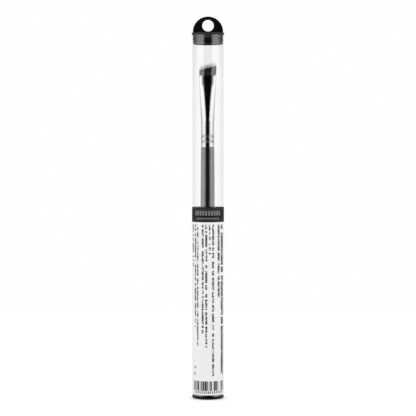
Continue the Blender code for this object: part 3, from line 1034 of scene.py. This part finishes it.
@dataclass
class ClearTube:
    """Clear tube, cut square at both ends."""

    outer_radius: float = 7.95 * MM
    wall: float = 0.35 * MM
    foot: float = 1.3 * MM
    top: float = 182.45 * MM
    edge_round: float = 0.06 * MM
    segments: int = 192
    sharp: int = 30
    inner_face_on: float = 0.004

    def profile(self) -> list[Point]:
        """Lay out the wall's closed outline.

        Returns:
            Its points, in order.
        """
        outer, inner, edge = self.outer_radius, self.outer_radius - self.wall, self.edge_round
        return [
            (outer, self.foot + edge), (outer, self.top - edge), (outer - edge, self.top),
            (inner + edge, self.top), (inner, self.top - edge), (inner, self.foot + edge),
            (inner + edge, self.foot), (outer - edge, self.foot),
        ]

    def build(self) -> None:
        """Make the tube, glossy outside and plain clear inside, and fix it to its body."""
        outside = ExtrudedClearPlastic("PVC_clear_extruded_tube").material()
        inside = ExtrudedClearPlastic("PVC_clear_inner_face", face_on=self.inner_face_on).material()
        bm = turned(self.profile(), self.segments, endless=True)
        piece = make_piece("tube_shell", bm, outside, self.sharp)
        piece.data.materials.append(inside)
        halfway = self.outer_radius - self.wall / 2
        for face in piece.data.polygons:
            if face.center.xy.length < halfway:
                face.material_index = 1
        seat(piece, "tube", "clear_tube")


@dataclass
class PrintedLabel:
    """Printed film round the tube, open along a narrow seam at the back."""

    inner_radius: float = 7.98 * MM
    thickness: float = 0.08 * MM
    foot: float = 2.15 * MM
    top: float = 96.35 * MM
    seam: float = 0.3 * MM
    segments: int = 180
    sharp: int = 30
    blank_offset: float = 200.0

    def build(self) -> None:
        """Make the film with its print map in millimetres, and fix it to the tube."""
        outer, inner = self.inner_radius + self.thickness, self.inner_radius
        half_turn = math.pi - self.seam / 2 / outer
        corners = ((outer, self.foot), (outer, self.top), (inner, self.top), (inner, self.foot))
        bm = bmesh.new()
        flat = bm.loops.layers.uv.new("print_mm")
        columns = []
        for step in range(self.segments + 1):
            turn = blend(-half_turn, half_turn, step / self.segments)
            points = [(radius * math.sin(turn), -radius * math.cos(turn), height) for radius, height in corners]
            columns.append((turn * outer / MM, [bm.verts.new(point) for point in points]))

        def mapped(verts: Sequence[bmesh.types.BMVert], places: Iterable[float]) -> None:
            """Add a face with the place of each corner round the film."""
            for loop, across in zip(bm.faces.new(verts).loops, places):
                loop[flat].uv = (across, loop.vert.co.z / MM)

        for (left, near), (right, far) in zip(columns, columns[1:]):
            for i in range(4):
                j = (i + 1) % 4
                # Only the outer face is printed: the others lie far aside on the print map.
                aside = 0.0 if i == 0 else self.blank_offset
                places = (left + aside, right + aside, right + aside, left + aside)
                mapped((near[i], far[i], far[j], near[j]), places)
        for across, column in (columns[0], columns[-1]):
            mapped(column, (across + self.blank_offset,) * 4)
        material = PrintedFilm("Polypropylene_film_printed_matt").material()
        seat(make_piece("label_sleeve", bm, material, self.sharp), "tube", "label_film")


@dataclass
class HangCap:
    """Moulded cap: a hollow skirt inside the tube, a thin flange and a half-round tab with its hole."""

    base: float = 182.6 * MM
    flange_radius: float = 8.15 * MM
    flange_height: float = 1.1 * MM
    edge_round: float = 0.2 * MM
    inner_round: float = 0.4 * MM
    foot_round: float = 0.1 * MM
    skirt_radius: float = 7.55 * MM
    skirt_height: float = 4.8 * MM
    skirt_wall: float = 1.0 * MM
    groove_drop: float = 1.4 * MM
    groove_width: float = 0.6 * MM
    groove_depth: float = 0.15 * MM
    groove_steps: int = 8
    lead_height: float = 0.6 * MM
    lead_in: float = 0.3 * MM
    tab_radius: float = 7.6 * MM
    tab_thickness: float = 2.0 * MM
    tab_rise: float = 0.45 * MM
    tab_root: float = 0.5 * MM
    tab_round: float = 0.12 * MM
    tab_steps: int = 96
    bevel_steps: int = 4
    bevel_angle: float = 50.0
    hole_radius: float = 2.9 * MM
    hole_rise: float = 3.5 * MM
    hole_steps: int = 72
    inner_steps: int = 4
    edge_steps: int = 5
    scuffed_drop: float = 1.7 * MM
    overrun: float = 1.0 * MM
    segments: int = 144
    sharp: int = 35
    plate_sharp: int = 30

    def profile(self) -> list[Point]:
        """Lay out the cap's outline.

        Returns:
            Its points from the inner roof, down the skirt's inside and up its outside.
        """
        crest, foot = self.skirt_radius, self.base - self.skirt_height
        inner = crest - self.skirt_wall
        centre = (inner - self.inner_round, self.base - self.inner_round)
        points = [(0.0, self.base), *arc(centre, self.inner_round, 90, 0, self.inner_steps)]
        points += [(inner, foot + self.foot_round), (inner + self.foot_round, foot)]
        points += [(crest - self.lead_in, foot), (crest, foot + self.lead_height)]
        middle = self.base - self.groove_drop
        for step in range(self.groove_steps + 1):
            share = 2 * step / self.groove_steps - 1
            dip = self.groove_depth * (1 + math.cos(math.pi * share)) / 2
            points.append((crest - dip, middle + share * self.groove_width / 2))
        points.append((crest, self.base))
        edge = self.flange_radius - self.edge_round
        top = self.base + self.flange_height
        for height, start, end in ((self.base + self.edge_round, -90, 0), (top - self.edge_round, 0, 90)):
            points += arc((edge, height), self.edge_round, start, end, self.edge_steps)
        return [*points, (0.0, top)]

    def plate(self, name: str, outline: Sequence[Point], half: float, material: Material) -> Object:
        """Make a plate along Y, a shape for the cap to use up.

        Args:
            name: The plate's name.
            outline: Its (x, z) points in order.
            half: Half its thickness.
            material: Its finish.

        Returns:
            The plate.
        """
        bm = bmesh.new()
        rings = [[bm.verts.new((x, y, z)) for x, z in outline] for y in (-half, half)]
        for i in range(len(outline)):
            j = (i + 1) % len(outline)
            bm.faces.new((rings[0][i], rings[0][j], rings[1][j], rings[1][i]))
        for ring in rings:
            bm.faces.new(ring)
        return make_piece(name, bm, material, self.plate_sharp)

    def joined(self, target: Object, operation: str, other: Object) -> None:
        """Combine another shape into the target with a Boolean modifier.

        Args:
            target: The shape that is changed.
            operation: The Boolean operation's name.
            other: The shape that changes it, hidden from renders.
        """
        combine = target.modifiers.new(operation.lower(), "BOOLEAN")
        combine.operation = operation
        combine.object = other
        combine.solver = "EXACT"
        other.hide_render = True

    def build(self) -> None:
        """Make the cap as one moulding and fix it to its body."""
        top = self.base + self.flange_height
        # Below the flange and round its side the plastic is lighter in colour and rougher.
        scuffed = (self.base - self.scuffed_drop, top - self.edge_round)
        name = "Polypropylene_black_moulded_cap"
        material = MouldedPlastic(name, scuffed_band=scuffed, dull_band=(self.base, top)).material()
        root = top - self.tab_root
        outline = [(-self.tab_radius, root), (self.tab_radius, root)]
        outline += arc((0.0, top + self.tab_rise), self.tab_radius, 0, 180, self.tab_steps)
        half = self.tab_thickness / 2
        tab = self.plate("tab_shape", outline, half, material)
        outline = arc((0.0, top + self.hole_rise), self.hole_radius, 0, 360, self.hole_steps)[:-1]
        hole = self.plate("hole_shape", outline, half + self.overrun, material)
        self.joined(tab, "DIFFERENCE", hole)
        soften = tab.modifiers.new("soft_edges", "BEVEL")
        soften.width = self.tab_round
        soften.segments = self.bevel_steps
        soften.limit_method = "ANGLE"
        soften.angle_limit = math.radians(self.bevel_angle)
        body = make_piece("cap_shape", turned(self.profile(), self.segments), material, self.sharp)
        self.joined(body, "UNION", tab)
        piece = plain_copy(body, "hang_cap_moulding", self.sharp)
        for shape in (tab, hole):
            bpy.data.objects.remove(shape, do_unlink=True)
        # Flat faces stay flat to the eye beside their rounded edges.
        piece.modifiers.new("even_normals", "WEIGHTED_NORMAL").keep_sharp = True
        seat(piece, "cap", "hang_cap")


@dataclass
class BrushHandle:
    """Turned handle: a rounded butt, a soft belly and a shoulder, with a tenon for the ferrule."""

    base: float = 1.6 * MM
    length: float = 124.75 * MM
    butt_radius: float = 2.3 * MM
    butt_flat: float = 0.9 * MM
    butt_round: float = 1.8 * MM
    belly_radius: float = 3.6 * MM
    belly_share: float = 0.7
    shoulder_radius: float = 3.4 * MM
    shoulder_round: float = 0.12 * MM
    tenon_radius: float = 2.8 * MM
    tenon_length: float = 11.0 * MM
    body_rings: int = 166
    tenon_rings: int = 4
    segments: int = 96
    sharp: int = 40

    def rounding(self, nodes: Nodes, distance: Source, size: Source) -> Source:
        """Build a quarter round at an end of the handle.

        Args:
            nodes: The nodes of the handle's tree.
            distance: Distance from the end.
            size: Length of the round.

        Returns:
            Its rise: 0 at the end of the handle, 1 where the round ends.
        """
        back = nodes.add("ShaderNodeMath", (distance, size), operation="DIVIDE", use_clamp=True)
        back = nodes.add("ShaderNodeMath", (1.0, back), operation="SUBTRACT")
        back = nodes.add("ShaderNodeMath", (back, 2.0), operation="POWER")
        rise = nodes.add("ShaderNodeMath", (1.0, back), operation="SUBTRACT")
        return nodes.add("ShaderNodeMath", (rise,), operation="SQRT")

    def radius_rule(self, nodes: Nodes, given: dict[str, Source], share: Source) -> Source:
        """Build the handle's radius: a sine rise from butt to belly, then a soft fall to the shoulder.

        Args:
            nodes: The nodes of the handle's tree.
            given: The tree's named inputs.
            share: Share of the handle's length, from butt to shoulder.

        Returns:
            The radius at that share.
        """
        peak, thickest = given["Belly share"], given["Belly radius"]
        rise = nodes.add("ShaderNodeMath", (share, peak), operation="DIVIDE", use_clamp=True)
        turn = nodes.add("ShaderNodeMath", (rise, math.pi / 2), operation="MULTIPLY")
        sine = nodes.add("ShaderNodeMath", (turn,), operation="SINE")
        swell = nodes.add("ShaderNodeMix", {"Factor": sine, "A": given["Butt radius"], "B": thickest})
        past = nodes.add("ShaderNodeMapRange", (share, peak, 1.0))
        fall = nodes.add("ShaderNodeMath", (past, 2.0), operation="POWER")
        drop = nodes.add("ShaderNodeMix", {"Factor": fall, "A": thickest, "B": given["Shoulder radius"]})
        above = nodes.add("ShaderNodeMath", (share, peak), operation="GREATER_THAN")
        body = nodes.add("ShaderNodeMix", {"Factor": above, "A": swell, "B": drop})
        height = nodes.add("ShaderNodeMath", (share, given["Length"]), operation="MULTIPLY")
        butt = self.rounding(nodes, height, given["Butt round"])
        rounded = nodes.add("ShaderNodeMix", {"Factor": butt, "A": given["Butt flat"], "B": body})
        left = nodes.add("ShaderNodeMath", (given["Length"], height), operation="SUBTRACT")
        end = self.rounding(nodes, left, given["Shoulder round"])
        low = nodes.add("ShaderNodeMath", (rounded, given["Shoulder round"]), operation="SUBTRACT")
        return nodes.add("ShaderNodeMix", {"Factor": end, "A": low, "B": rounded})

    def tree(self) -> bpy.types.NodeTree:
        """Build the tree that turns the handle from its named sizes.

        Returns:
            The tree.
        """
        nodes, given = sized_tree("turned_handle", named_sizes(self), ["Finish"])
        rings = self.body_rings + self.tenon_rings
        blank, place, up = nodes.column(self.segments, rings)
        # The body's rings lie closer together towards its two rounded ends.
        turn = nodes.add("ShaderNodeMapRange", (up, 0.0, self.body_rings / rings, 0.0, math.pi))
        cosine = nodes.add("ShaderNodeMath", (turn,), operation="COSINE")
        share = nodes.add("ShaderNodeMapRange", (cosine, 1.0, -1.0))
        on_tenon = nodes.add("ShaderNodeMath", (up, (self.body_rings + 0.5) / rings), operation="GREATER_THAN")
        radius = self.radius_rule(nodes, given, share)
        radius = nodes.add("ShaderNodeMix", {"Factor": on_tenon, "A": radius, "B": given["Tenon radius"]})
        first = (self.body_rings + 1) / rings
        tenon = nodes.add("ShaderNodeMapRange", (up, first, 1.0, 0.0, given["Tenon length"]))
        height = nodes.add("ShaderNodeMath", (share, given["Length"], given["Base"]), operation="MULTIPLY_ADD")
        height = nodes.add("ShaderNodeMath", (height, tenon), operation="ADD")
        shape = nodes.add("GeometryNodeRealizeInstances", (nodes.turned(blank, place, radius, height),))
        shape = nodes.add("GeometryNodeSetMaterial", {"Geometry": shape, "Material": given["Finish"]})
        nodes.add("NodeGroupOutput", (shape,))
        return nodes.tree

    def build(self) -> None:
        """Turn the handle and fix it to the brush."""
        sizes = {**named_sizes(self), "Finish": GlossLacquer("Birch_turned_black_lacquered").material()}
        piece = grown("lacquered_handle", self.tree(), sizes, self.sharp)
        seat(piece, BRUSH, "handle")


@dataclass
class Ferrule:
    """Plated tube: round below with two crimped rings, pressed oval at its mouth."""

    base: float = 126.4 * MM
    length: float = 35.9 * MM
    radius: float = 3.3 * MM
    wall: float = 0.3 * MM
    mouth_half_width: float = 4.3 * MM
    mouth_half_depth: float = 1.65 * MM
    flare_start: float = 11.2 * MM
    press_start: float = 12.9 * MM
    press_end: float = 30.4 * MM
    softness: float = 1.6 * MM
    widen: float = 1.0648
    crimps: tuple[Point, ...] = ((2.1 * MM, 4.0 * MM), (4.6 * MM, 6.4 * MM))
    crimp_depth: float = 0.08 * MM
    rim_round: float = 0.06 * MM
    rim_strip: float = 0.4 * MM
    fine_step: float = 0.1 * MM
    fine_steps: tuple[int, int] = (19, 68)
    plain_start: float = 7.2 * MM
    plain_steps: int = 60
    segments: int = 128
    sharp: int = 50

    def ramp(self, height: float, start: float, end: float) -> float:
        """Rise along a stretch of the ferrule, softly at both its ends.

        Args:
            height: Where, above the lower rim.
            start: Lower end of the stretch.
            end: Upper end of the stretch.

        Returns:
            0 below the stretch, 1 above it and a line between.
        """
        share = 0.0
        for corner, turn in ((start, 1.0), (end, -1.0)):
            run = height - corner
            if run >= self.softness:
                share += turn * run
            elif run > -self.softness:
                share += turn * (run + self.softness) ** 2 / (4 * self.softness)
        return share / (end - start)

    def pressed(self, height: float) -> float:
        """Return how deep the crimps press the wall in at a height."""
        shares = [max(0.0, min(1.0, (height - start) / (end - start))) for start, end in self.crimps]
        return max(self.crimp_depth * (1 - math.cos(math.tau * share)) / 2 for share in shares)

    def wall_face(self, inset: float, heights: Iterable[float]) -> list[Section]:
        """Lay out one face of the wall.

        Args:
            inset: How far the face is drawn in.
            heights: Heights of its sections, in order.

        Returns:
            The face's sections.
        """
        sections = []
        for height in heights:
            drawn = inset + self.pressed(height)
            wide = self.ramp(height, self.flare_start, self.length + self.softness)
            width = blend(self.radius, self.mouth_half_width, wide * self.widen) - drawn
            flat = self.ramp(height, self.press_start, self.press_end)
            depth = blend(self.radius, self.mouth_half_depth, flat) - drawn
            sections.append((width, depth, self.base + height))
        return sections

    def build(self) -> None:
        """Make the ferrule and fix it to the brush."""
        rim, end = self.rim_round, self.length - self.rim_strip
        heights = [rim, 2 * rim, self.rim_strip]
        heights += [self.fine_step * step for step in range(*self.fine_steps)]
        shares = [step / self.plain_steps for step in range(self.plain_steps + 1)]
        heights += [blend(self.plain_start, end, share) for share in shares]
        heights += [self.length - 2 * rim, self.length - rim]
        outside = self.wall_face(0.0, heights)
        inside = self.wall_face(self.wall, reversed(heights))
        top = self.wall_face(rim, [self.length]) + self.wall_face(self.wall - rim, [self.length])
        foot = self.wall_face(self.wall - rim, [0.0]) + self.wall_face(rim, [0.0])
        bm = skin(outside + top + inside + foot, self.segments, endless=True)
        # The crimp rings are darkened in the finish with painted shade, in place of the shade of deeper
        # grooves.
        rings = tuple((self.base + low, self.base + high) for low, high in self.crimps)
        material = PlatedMetal("Brass_drawn_nickel_plated", rings=rings).material()
        seat(make_piece("ferrule_shell", bm, material, self.sharp), BRUSH, "ferrule")


@dataclass
class BristleTuft:
    """Fine tapered filaments on an oval root, cut at a slant, set in a slice of resin."""

    base: float = 159.6 * MM
    slice_height: float = 1.5 * MM
    sink: float = 1.2 * MM
    root_half_width: float = 3.78 * MM
    root_half_depth: float = 1.24 * MM
    tip_half_width: float = 4.25 * MM
    tip_half_depth: float = 0.88 * MM
    short_reach: float = 4.85 * MM
    long_reach: float = 7.2 * MM
    unevenness: float = 0.45 * MM
    pale_length: float = 1.9 * MM
    pale_share: float = 0.12
    strand_radius: float = 0.040 * MM
    spacing: float = 0.076 * MM
    stray: float = 0.10 * MM
    lean: float = 0.18 * MM
    flare: float = 0.055
    flare_height: float = 0.7 * MM
    fan_power: float = 0.6
    slice_shift: float = -0.49
    most_per_square_metre: float = 6.0e8
    seed: int = 7
    strand_corners: int = 4
    strand_rings: int = 6
    taper: tuple[Point, Point] = ((0.6, 1.0), (1.0, 0.15))
    oval_corners: int = 72
    sharp: int = 60

    def strand(self, nodes: Nodes) -> Source:
        """Make one filament of unit height and radius, tapered in its last third.

        Args:
            nodes: The nodes of the tuft's tree.

        Returns:
            The filament, with its height kept.
        """
        blank, place, up = nodes.column(self.strand_corners, self.strand_rings)
        thin = nodes.add("ShaderNodeMapRange", (up, *self.taper[0], *self.taper[1]))
        return nodes.turned(nodes.kept(blank, along=up), place, thin, up)

    def roots(self, nodes: Nodes, given: dict[str, Source]) -> Source:
        """Scatter the root points evenly over the oval, each with its own height and shade.

        Args:
            nodes: The nodes of the tuft's tree.
            given: The tree's named inputs.

        Returns:
            The points.
        """
        half_width = given["Root half width"]
        feeds = {"Vertices": self.oval_corners, "Radius": 1.0}
        disc = nodes.add("GeometryNodeMeshCircle", feeds, fill_type="NGON")
        halves = nodes.add("ShaderNodeCombineXYZ", (half_width, given["Root half depth"], 1.0))
        oval = nodes.add("GeometryNodeTransform", {"Geometry": disc, "Scale": halves})
        feeds = {
            "Mesh": oval, "Distance Min": given["Spacing"], "Density Max": given["Most per square metre"],
            "Seed": self.seed,
        }
        points = nodes.add("GeometryNodeDistributePointsOnFaces", feeds, distribute_method="POISSON")
        place = nodes.add("GeometryNodeInputPosition")
        left = nodes.add("ShaderNodeMath", (half_width, -1.0), operation="MULTIPLY")
        reaches = (given["Short reach"], given["Long reach"])
        across = nodes.add("ShaderNodeSeparateXYZ", (place,))
        reach = nodes.add("ShaderNodeMapRange", (across, left, half_width, *reaches))
        whole = nodes.add("ShaderNodeMath", (reach, given["Sink"]), operation="ADD")
        uneven, pale, shade = [
            nodes.add("FunctionNodeRandomValue", {"Seed": self.seed + step}).outputs[1] for step in (1, 3, 2)
        ]
        cut = nodes.add("ShaderNodeMath", (uneven, given["Unevenness"]), operation="MULTIPLY")
        short = nodes.add("ShaderNodeMath", (pale, given["Pale share"]), operation="GREATER_THAN")
        cut = nodes.add("ShaderNodeMath", (short, given["Pale length"], cut), operation="MULTIPLY_ADD")
        height = nodes.add("ShaderNodeMath", (whole, cut), operation="SUBTRACT")
        feeds = {"Geometry": points, "Name": "root", "Value": place}
        points = nodes.add("GeometryNodeStoreNamedAttribute", feeds, data_type="FLOAT_VECTOR")
        return nodes.kept(points, strand_height=height, whole_height=whole, strand_shade=shade)

    def fanned(self, nodes: Nodes, given: dict[str, Source], strands: Source) -> Source:
        """Fan the filaments out over the mouth's rim and in to an edge in depth, each with a little stray.

        Args:
            nodes: The nodes of the tuft's tree.
            given: The tree's named inputs.
            strands: The realised filaments.

        Returns:
            The fanned filaments.
        """
        place = nodes.add("GeometryNodeInputPosition")
        height = nodes.add("ShaderNodeSeparateXYZ", (place,)).outputs[2]
        whole = nodes.add("ShaderNodeMath", (given["Sink"], given["Long reach"]), operation="ADD")
        share = nodes.add("ShaderNodeMath", (height, whole), operation="DIVIDE", use_clamp=True)
        eased = nodes.add("ShaderNodeMath", (share, given["Fan power"]), operation="POWER")
        root = nodes.add("GeometryNodeInputNamedAttribute", {"Name": "root"}, data_type="FLOAT_VECTOR")
        across, deep, _ = nodes.add("ShaderNodeSeparateXYZ", (root,)).outputs
        shifts = []
        for size, side, spread in (("width", across, eased), ("depth", deep, share)):
            halves = (given["Tip half " + size], given["Root half " + size])
            ratio = nodes.add("ShaderNodeMath", halves, operation="DIVIDE")
            growth = nodes.add("ShaderNodeMath", (ratio, 1.0), operation="SUBTRACT")
            shifts.append(nodes.folded("MULTIPLY", (growth, spread, side)))
        free = nodes.add("ShaderNodeMath", (given["Sink"], given["Flare height"]), operation="ADD")
        rise = (height, given["Sink"], free, 0.0, given["Flare"])
        over = nodes.add("ShaderNodeMapRange", rise, interpolation_type="SMOOTHSTEP")
        aside = nodes.add("ShaderNodeMath", (over, across, shifts[0]), operation="MULTIPLY_ADD")
        aside = nodes.add("ShaderNodeMath", (share, given["Lean"], aside), operation="MULTIPLY_ADD")
        noise = nodes.add("ShaderNodeTexWhiteNoise", {"Vector": root}, noise_dimensions="3D").outputs["Color"]
        along = nodes.add("GeometryNodeInputNamedAttribute", {"Name": "along"})
        bend = nodes.add("ShaderNodeMath", (along, 2.0), operation="POWER")
        bend = nodes.add("ShaderNodeMath", (bend, given["Stray"]), operation="MULTIPLY")
        stray = nodes.add("ShaderNodeVectorMath", (noise, (0.5, 0.5, 0.5)), operation="SUBTRACT")
        stray = nodes.add("ShaderNodeVectorMath", {0: stray, "Scale": bend}, operation="SCALE")
        shift = nodes.add("ShaderNodeCombineXYZ", (aside, shifts[1]))
        offset = nodes.add("ShaderNodeVectorMath", (stray, (1.0, 1.0, 0.0), shift), operation="MULTIPLY_ADD")
        return nodes.add("GeometryNodeSetPosition", {"Geometry": strands, "Offset": offset})

    def tree(self) -> bpy.types.NodeTree:
        """Build the tree that grows the tuft from its named sizes.

        Returns:
            The tree.
        """
        nodes, given = sized_tree("slanted_tuft", named_sizes(self), ["Finish", "Slice finish"])
        along, tall, whole = [
            nodes.add("GeometryNodeInputNamedAttribute", {"Name": name})
            for name in ("along", "strand_height", "whole_height")
        ]
        thick = given["Strand radius"]
        size = nodes.add("ShaderNodeCombineXYZ", (thick, thick, tall))
        feeds = {"Points": self.roots(nodes, given), "Instance": self.strand(nodes), "Scale": size}
        strands = nodes.add("GeometryNodeInstanceOnPoints", feeds)
        strands = nodes.add("GeometryNodeRealizeInstances", (strands,))
        up = nodes.add("ShaderNodeMath", (along, tall), operation="MULTIPLY")
        left = nodes.add("ShaderNodeMath", (whole, up), operation="SUBTRACT")
        strands = self.fanned(nodes, given, nodes.kept(strands, tip_distance=left))
        height = given["Slice height"]
        oval = nodes.add("ShaderNodeCombineXYZ", (given["Root half width"], given["Root half depth"], height))
        low = nodes.add("ShaderNodeMath", (height, given["Slice shift"]), operation="MULTIPLY")
        low = nodes.add("ShaderNodeCombineXYZ", {"Z": low})
        feeds = {"Geometry": nodes.column(self.oval_corners)[0], "Translation": low, "Scale": oval}
        root = nodes.add("GeometryNodeTransform", feeds)
        both = nodes.add("GeometryNodeJoinGeometry")
        for shape, finish in ((root, "Slice finish"), (strands, "Finish")):
            dressed = nodes.add("GeometryNodeSetMaterial", {"Geometry": shape, "Material": given[finish]})
            nodes.tree.links.new(dressed.outputs[0], both.inputs[0])
        lift = nodes.add("ShaderNodeMath", (given["Base"], height), operation="ADD")
        lift = nodes.add("ShaderNodeCombineXYZ", {"Z": lift})
        shape = nodes.add("GeometryNodeTransform", {"Geometry": both, "Translation": lift})
        nodes.add("NodeGroupOutput", (shape,))
        return nodes.tree

    def build(self) -> None:
        """Grow the tuft and fix it to the brush."""
        finishes = {
            "Finish": BristleFilament("Polyester_filament_dyed_tapered").material(),
            "Slice finish": SetResin("Epoxy_amber_root_slice").material(),
        }
        piece = grown("bristle_strands", self.tree(), {**named_sizes(self), **finishes}, self.sharp)
        seat(piece, BRUSH, "bristle_tuft")


@dataclass
class ResinPlug:
    """Set resin between tenon and bristles, sealed inside the ferrule: the frame's own solid, dressed."""

    node: str = "resin_plug"

    def build(self, nodes: dict[str, Object]) -> None:
        """Dress the node of the frame in its finish.

        Args:
            nodes: Nodes of the frame, by name.
        """
        mesh = nodes[self.node].data
        mesh.materials.clear()
        mesh.materials.append(SetResin("Epoxy_amber_set_plug").material())
        LOG.info("%s is dressed as it stands", self.node)


@dataclass
class Studio:
    """Plain white sweep, two tall soft boxes at the sides, and the camera."""

    eye: tuple[float, float, float] = (0.0, -0.86486, 0.129005)
    target: tuple[float, float, float] = (0.0, 0.0, 0.095785)
    lens: float = 148.8
    clip: Point = (0.05, 20.0)
    box_azimuth: float = 64.0
    box_distance: float = 0.5
    box_width: float = 0.966
    box_height: float = 1.2
    box_radiance: float = 2.5
    box_centre: float = 0.10
    inner_edge: float = 20.0
    full_turn: Point = (59.0, 40.0)
    wide_turn: Point = (72.0, 100.0)
    wide_level: Point = (0.66, 0.2)
    change_height: Point = (0.185, 0.2)
    fill: float = 0.97
    card_level: Point = (1.0, 0.05)
    card_top: Point = (0.035, 0.06)
    card_edge: Point = (0.28, 0.33)
    white: Colour = (1.0, 1.0, 1.0, 1.0)
    floor_shades: tuple[str, str] = ("#f4f4f4", "#fbfbfb")
    floor_grain: float = 40.0
    floor_size: float = 0.9
    floor_drop: float = 0.2 * MM
    floor_lift: float = 0.2
    sharp: int = 30

    def camera(self) -> None:
        """Set the camera at the photograph's angle, far back with a long lens."""
        data = bpy.data.cameras.new("studio_camera")
        data.lens = self.lens
        data.clip_start, data.clip_end = self.clip
        camera = bpy.data.objects.new("studio_camera", data)
        camera.location = self.eye
        aim = Vector(self.target) - Vector(self.eye)
        camera.rotation_euler = aim.to_track_quat("-Z", "Y").to_euler()
        bpy.context.scene.collection.objects.link(camera)
        bpy.context.scene.camera = camera

    def soft_box(self, name: str, azimuth: float) -> None:
        """Hang one soft box.

        Args:
            name: The light's name.
            azimuth: Degrees round from the camera's side, to the right.
        """
        data = bpy.data.lights.new(name, "AREA")
        data.shape = "RECTANGLE"
        data.size = self.box_width
        data.size_y = self.box_height
        data.energy = self.box_radiance * math.pi * self.box_width * self.box_height
        self.graded(data)
        box = bpy.data.objects.new(name, data)
        angle = math.radians(azimuth)
        way = Vector((math.sin(angle), -math.cos(angle), 0.0))
        box.location = way * self.box_distance + Vector((0, 0, self.box_centre))
        box.rotation_euler = (-way).to_track_quat("-Z", "Y").to_euler()
        box.visible_camera = False
        box.visible_diffuse = False
        bpy.context.scene.collection.objects.link(box)

    def graded(self, data: bpy.types.AreaLight) -> None:
        """Grade a soft box: dim at its inner edge, more slowly low down, and a little weaker far round.

        Args:
            data: The box's light.
        """
        nodes = Nodes.of(data)
        place = nodes.add("ShaderNodeNewGeometry").outputs["Position"]
        across, deep, up = nodes.add("ShaderNodeSeparateXYZ", (place,)).outputs
        ahead = nodes.add("ShaderNodeMath", (deep, -1.0), operation="MULTIPLY")
        aside = nodes.add("ShaderNodeMath", (across,), operation="ABSOLUTE")
        turn = nodes.add("ShaderNodeMath", (aside, ahead), operation="ARCTAN2")
        full = nodes.add("ShaderNodeMapRange", (up, *self.change_height, *map(math.radians, self.full_turn)))
        edge = (turn, math.radians(self.inner_edge), full)
        inner = nodes.add("ShaderNodeMapRange", edge, interpolation_type="SMOOTHSTEP")
        wide = nodes.add("ShaderNodeMapRange", (up, *self.change_height, *self.wide_level))
        outer = nodes.add("ShaderNodeMapRange", (turn, *map(math.radians, self.wide_turn), 1.0, wide))
        strength = nodes.add("ShaderNodeMath", (inner, outer), operation="MULTIPLY")
        nodes.add("ShaderNodeOutputLight", {"Surface": nodes.add("ShaderNodeEmission", {"Strength": strength})})

    def seen_directly(self, nodes: Nodes, path: bpy.types.Node) -> Source:
        """Return 1 for what the camera sees, also through clear plastic, and 0 for light and reflections."""
        rays = (path.outputs["Is Camera Ray"], path.outputs["Is Transmission Ray"])
        return nodes.add("ShaderNodeMath", rays, operation="MAXIMUM")

    def surroundings(self) -> None:
        """Build the white room: a white card behind the object, and the dark where the camera stands."""
        world = bpy.data.worlds.new("white_sweep")
        bpy.context.scene.world = world
        nodes = Nodes.of(world)
        way = nodes.add("ShaderNodeTexCoord").outputs["Generated"]
        _, deep, up = nodes.add("ShaderNodeSeparateXYZ", (way,)).outputs
        card = nodes.add("ShaderNodeMapRange", (up, *self.card_top, *self.card_level))
        seen = nodes.add("ShaderNodeMapRange", (deep, *self.card_edge, 0.0, card))
        path = nodes.add("ShaderNodeLightPath")
        light = nodes.add("ShaderNodeMix", {"Factor": path.outputs["Is Glossy Ray"], "A": self.fill, "B": seen})
        light = nodes.add("ShaderNodeMix", {"Factor": self.seen_directly(nodes, path), "A": light, "B": 1.0})
        back = nodes.add("ShaderNodeBackground", {"Color": self.white, "Strength": light})
        nodes.add("ShaderNodeOutputWorld", {"Surface": back})

    def floor(self) -> None:
        """Lay the white floor, which keeps the object's soft shadow."""
        material = bpy.data.materials.new("White_matt_sweep")
        nodes = Nodes.of(material)
        feeds = {"Vector": nodes.add("ShaderNodeTexCoord").outputs["Object"], "Scale": self.floor_grain}
        noise = nodes.add("ShaderNodeTexNoise", feeds)
        matt = nodes.add("ShaderNodeBsdfDiffuse", {"Color": nodes.tinted(noise, *self.floor_shades)})
        direct = self.seen_directly(nodes, nodes.add("ShaderNodeLightPath"))
        lift = nodes.add("ShaderNodeMath", (direct, self.floor_lift), operation="MULTIPLY")
        shine = nodes.add("ShaderNodeEmission", {"Strength": lift})
        nodes.add("ShaderNodeOutputMaterial", {"Surface": nodes.add("ShaderNodeAddShader", (matt, shine))})
        bm = bmesh.new()
        bmesh.ops.create_grid(bm, x_segments=1, y_segments=1, size=self.floor_size / 2)
        for vert in bm.verts:
            vert.co.z = -self.floor_drop
        piece = make_piece("studio_floor", bm, material, self.sharp)
        piece.visible_glossy = False
        piece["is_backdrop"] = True

    def build(self) -> None:
        """Set up camera, lights, room and floor."""
        bpy.context.scene.view_settings.view_transform = "Standard"
        self.camera()
        for name, azimuth in (("soft_box_right", self.box_azimuth), ("soft_box_left", -self.box_azimuth)):
            self.soft_box(name, azimuth)
        self.surroundings()
        self.floor()


def main() -> None:
    """Build every sub-assembly in order round the frame."""
    logging.basicConfig(level=logging.INFO, format="%(message)s")
    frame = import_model()
    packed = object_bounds()
    Studio().build()
    BottomPlug().build()
    ClearTube().build()
    PrintedLabel().build()
    HangCap().build()
    BrushHandle().build()
    Ferrule().build()
    ResinPlug().build(frame["nodes"])
    BristleTuft().build()
    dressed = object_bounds()
    boxes = {
        "cad": [list(corner) for corner in packed],
        "visual": [list(corner) for corner in dressed],
    }
    for name, (low, high) in boxes.items():
        LOG.info("%s box %s to %s", name, low, high)


if __name__ == "__main__":
    main()
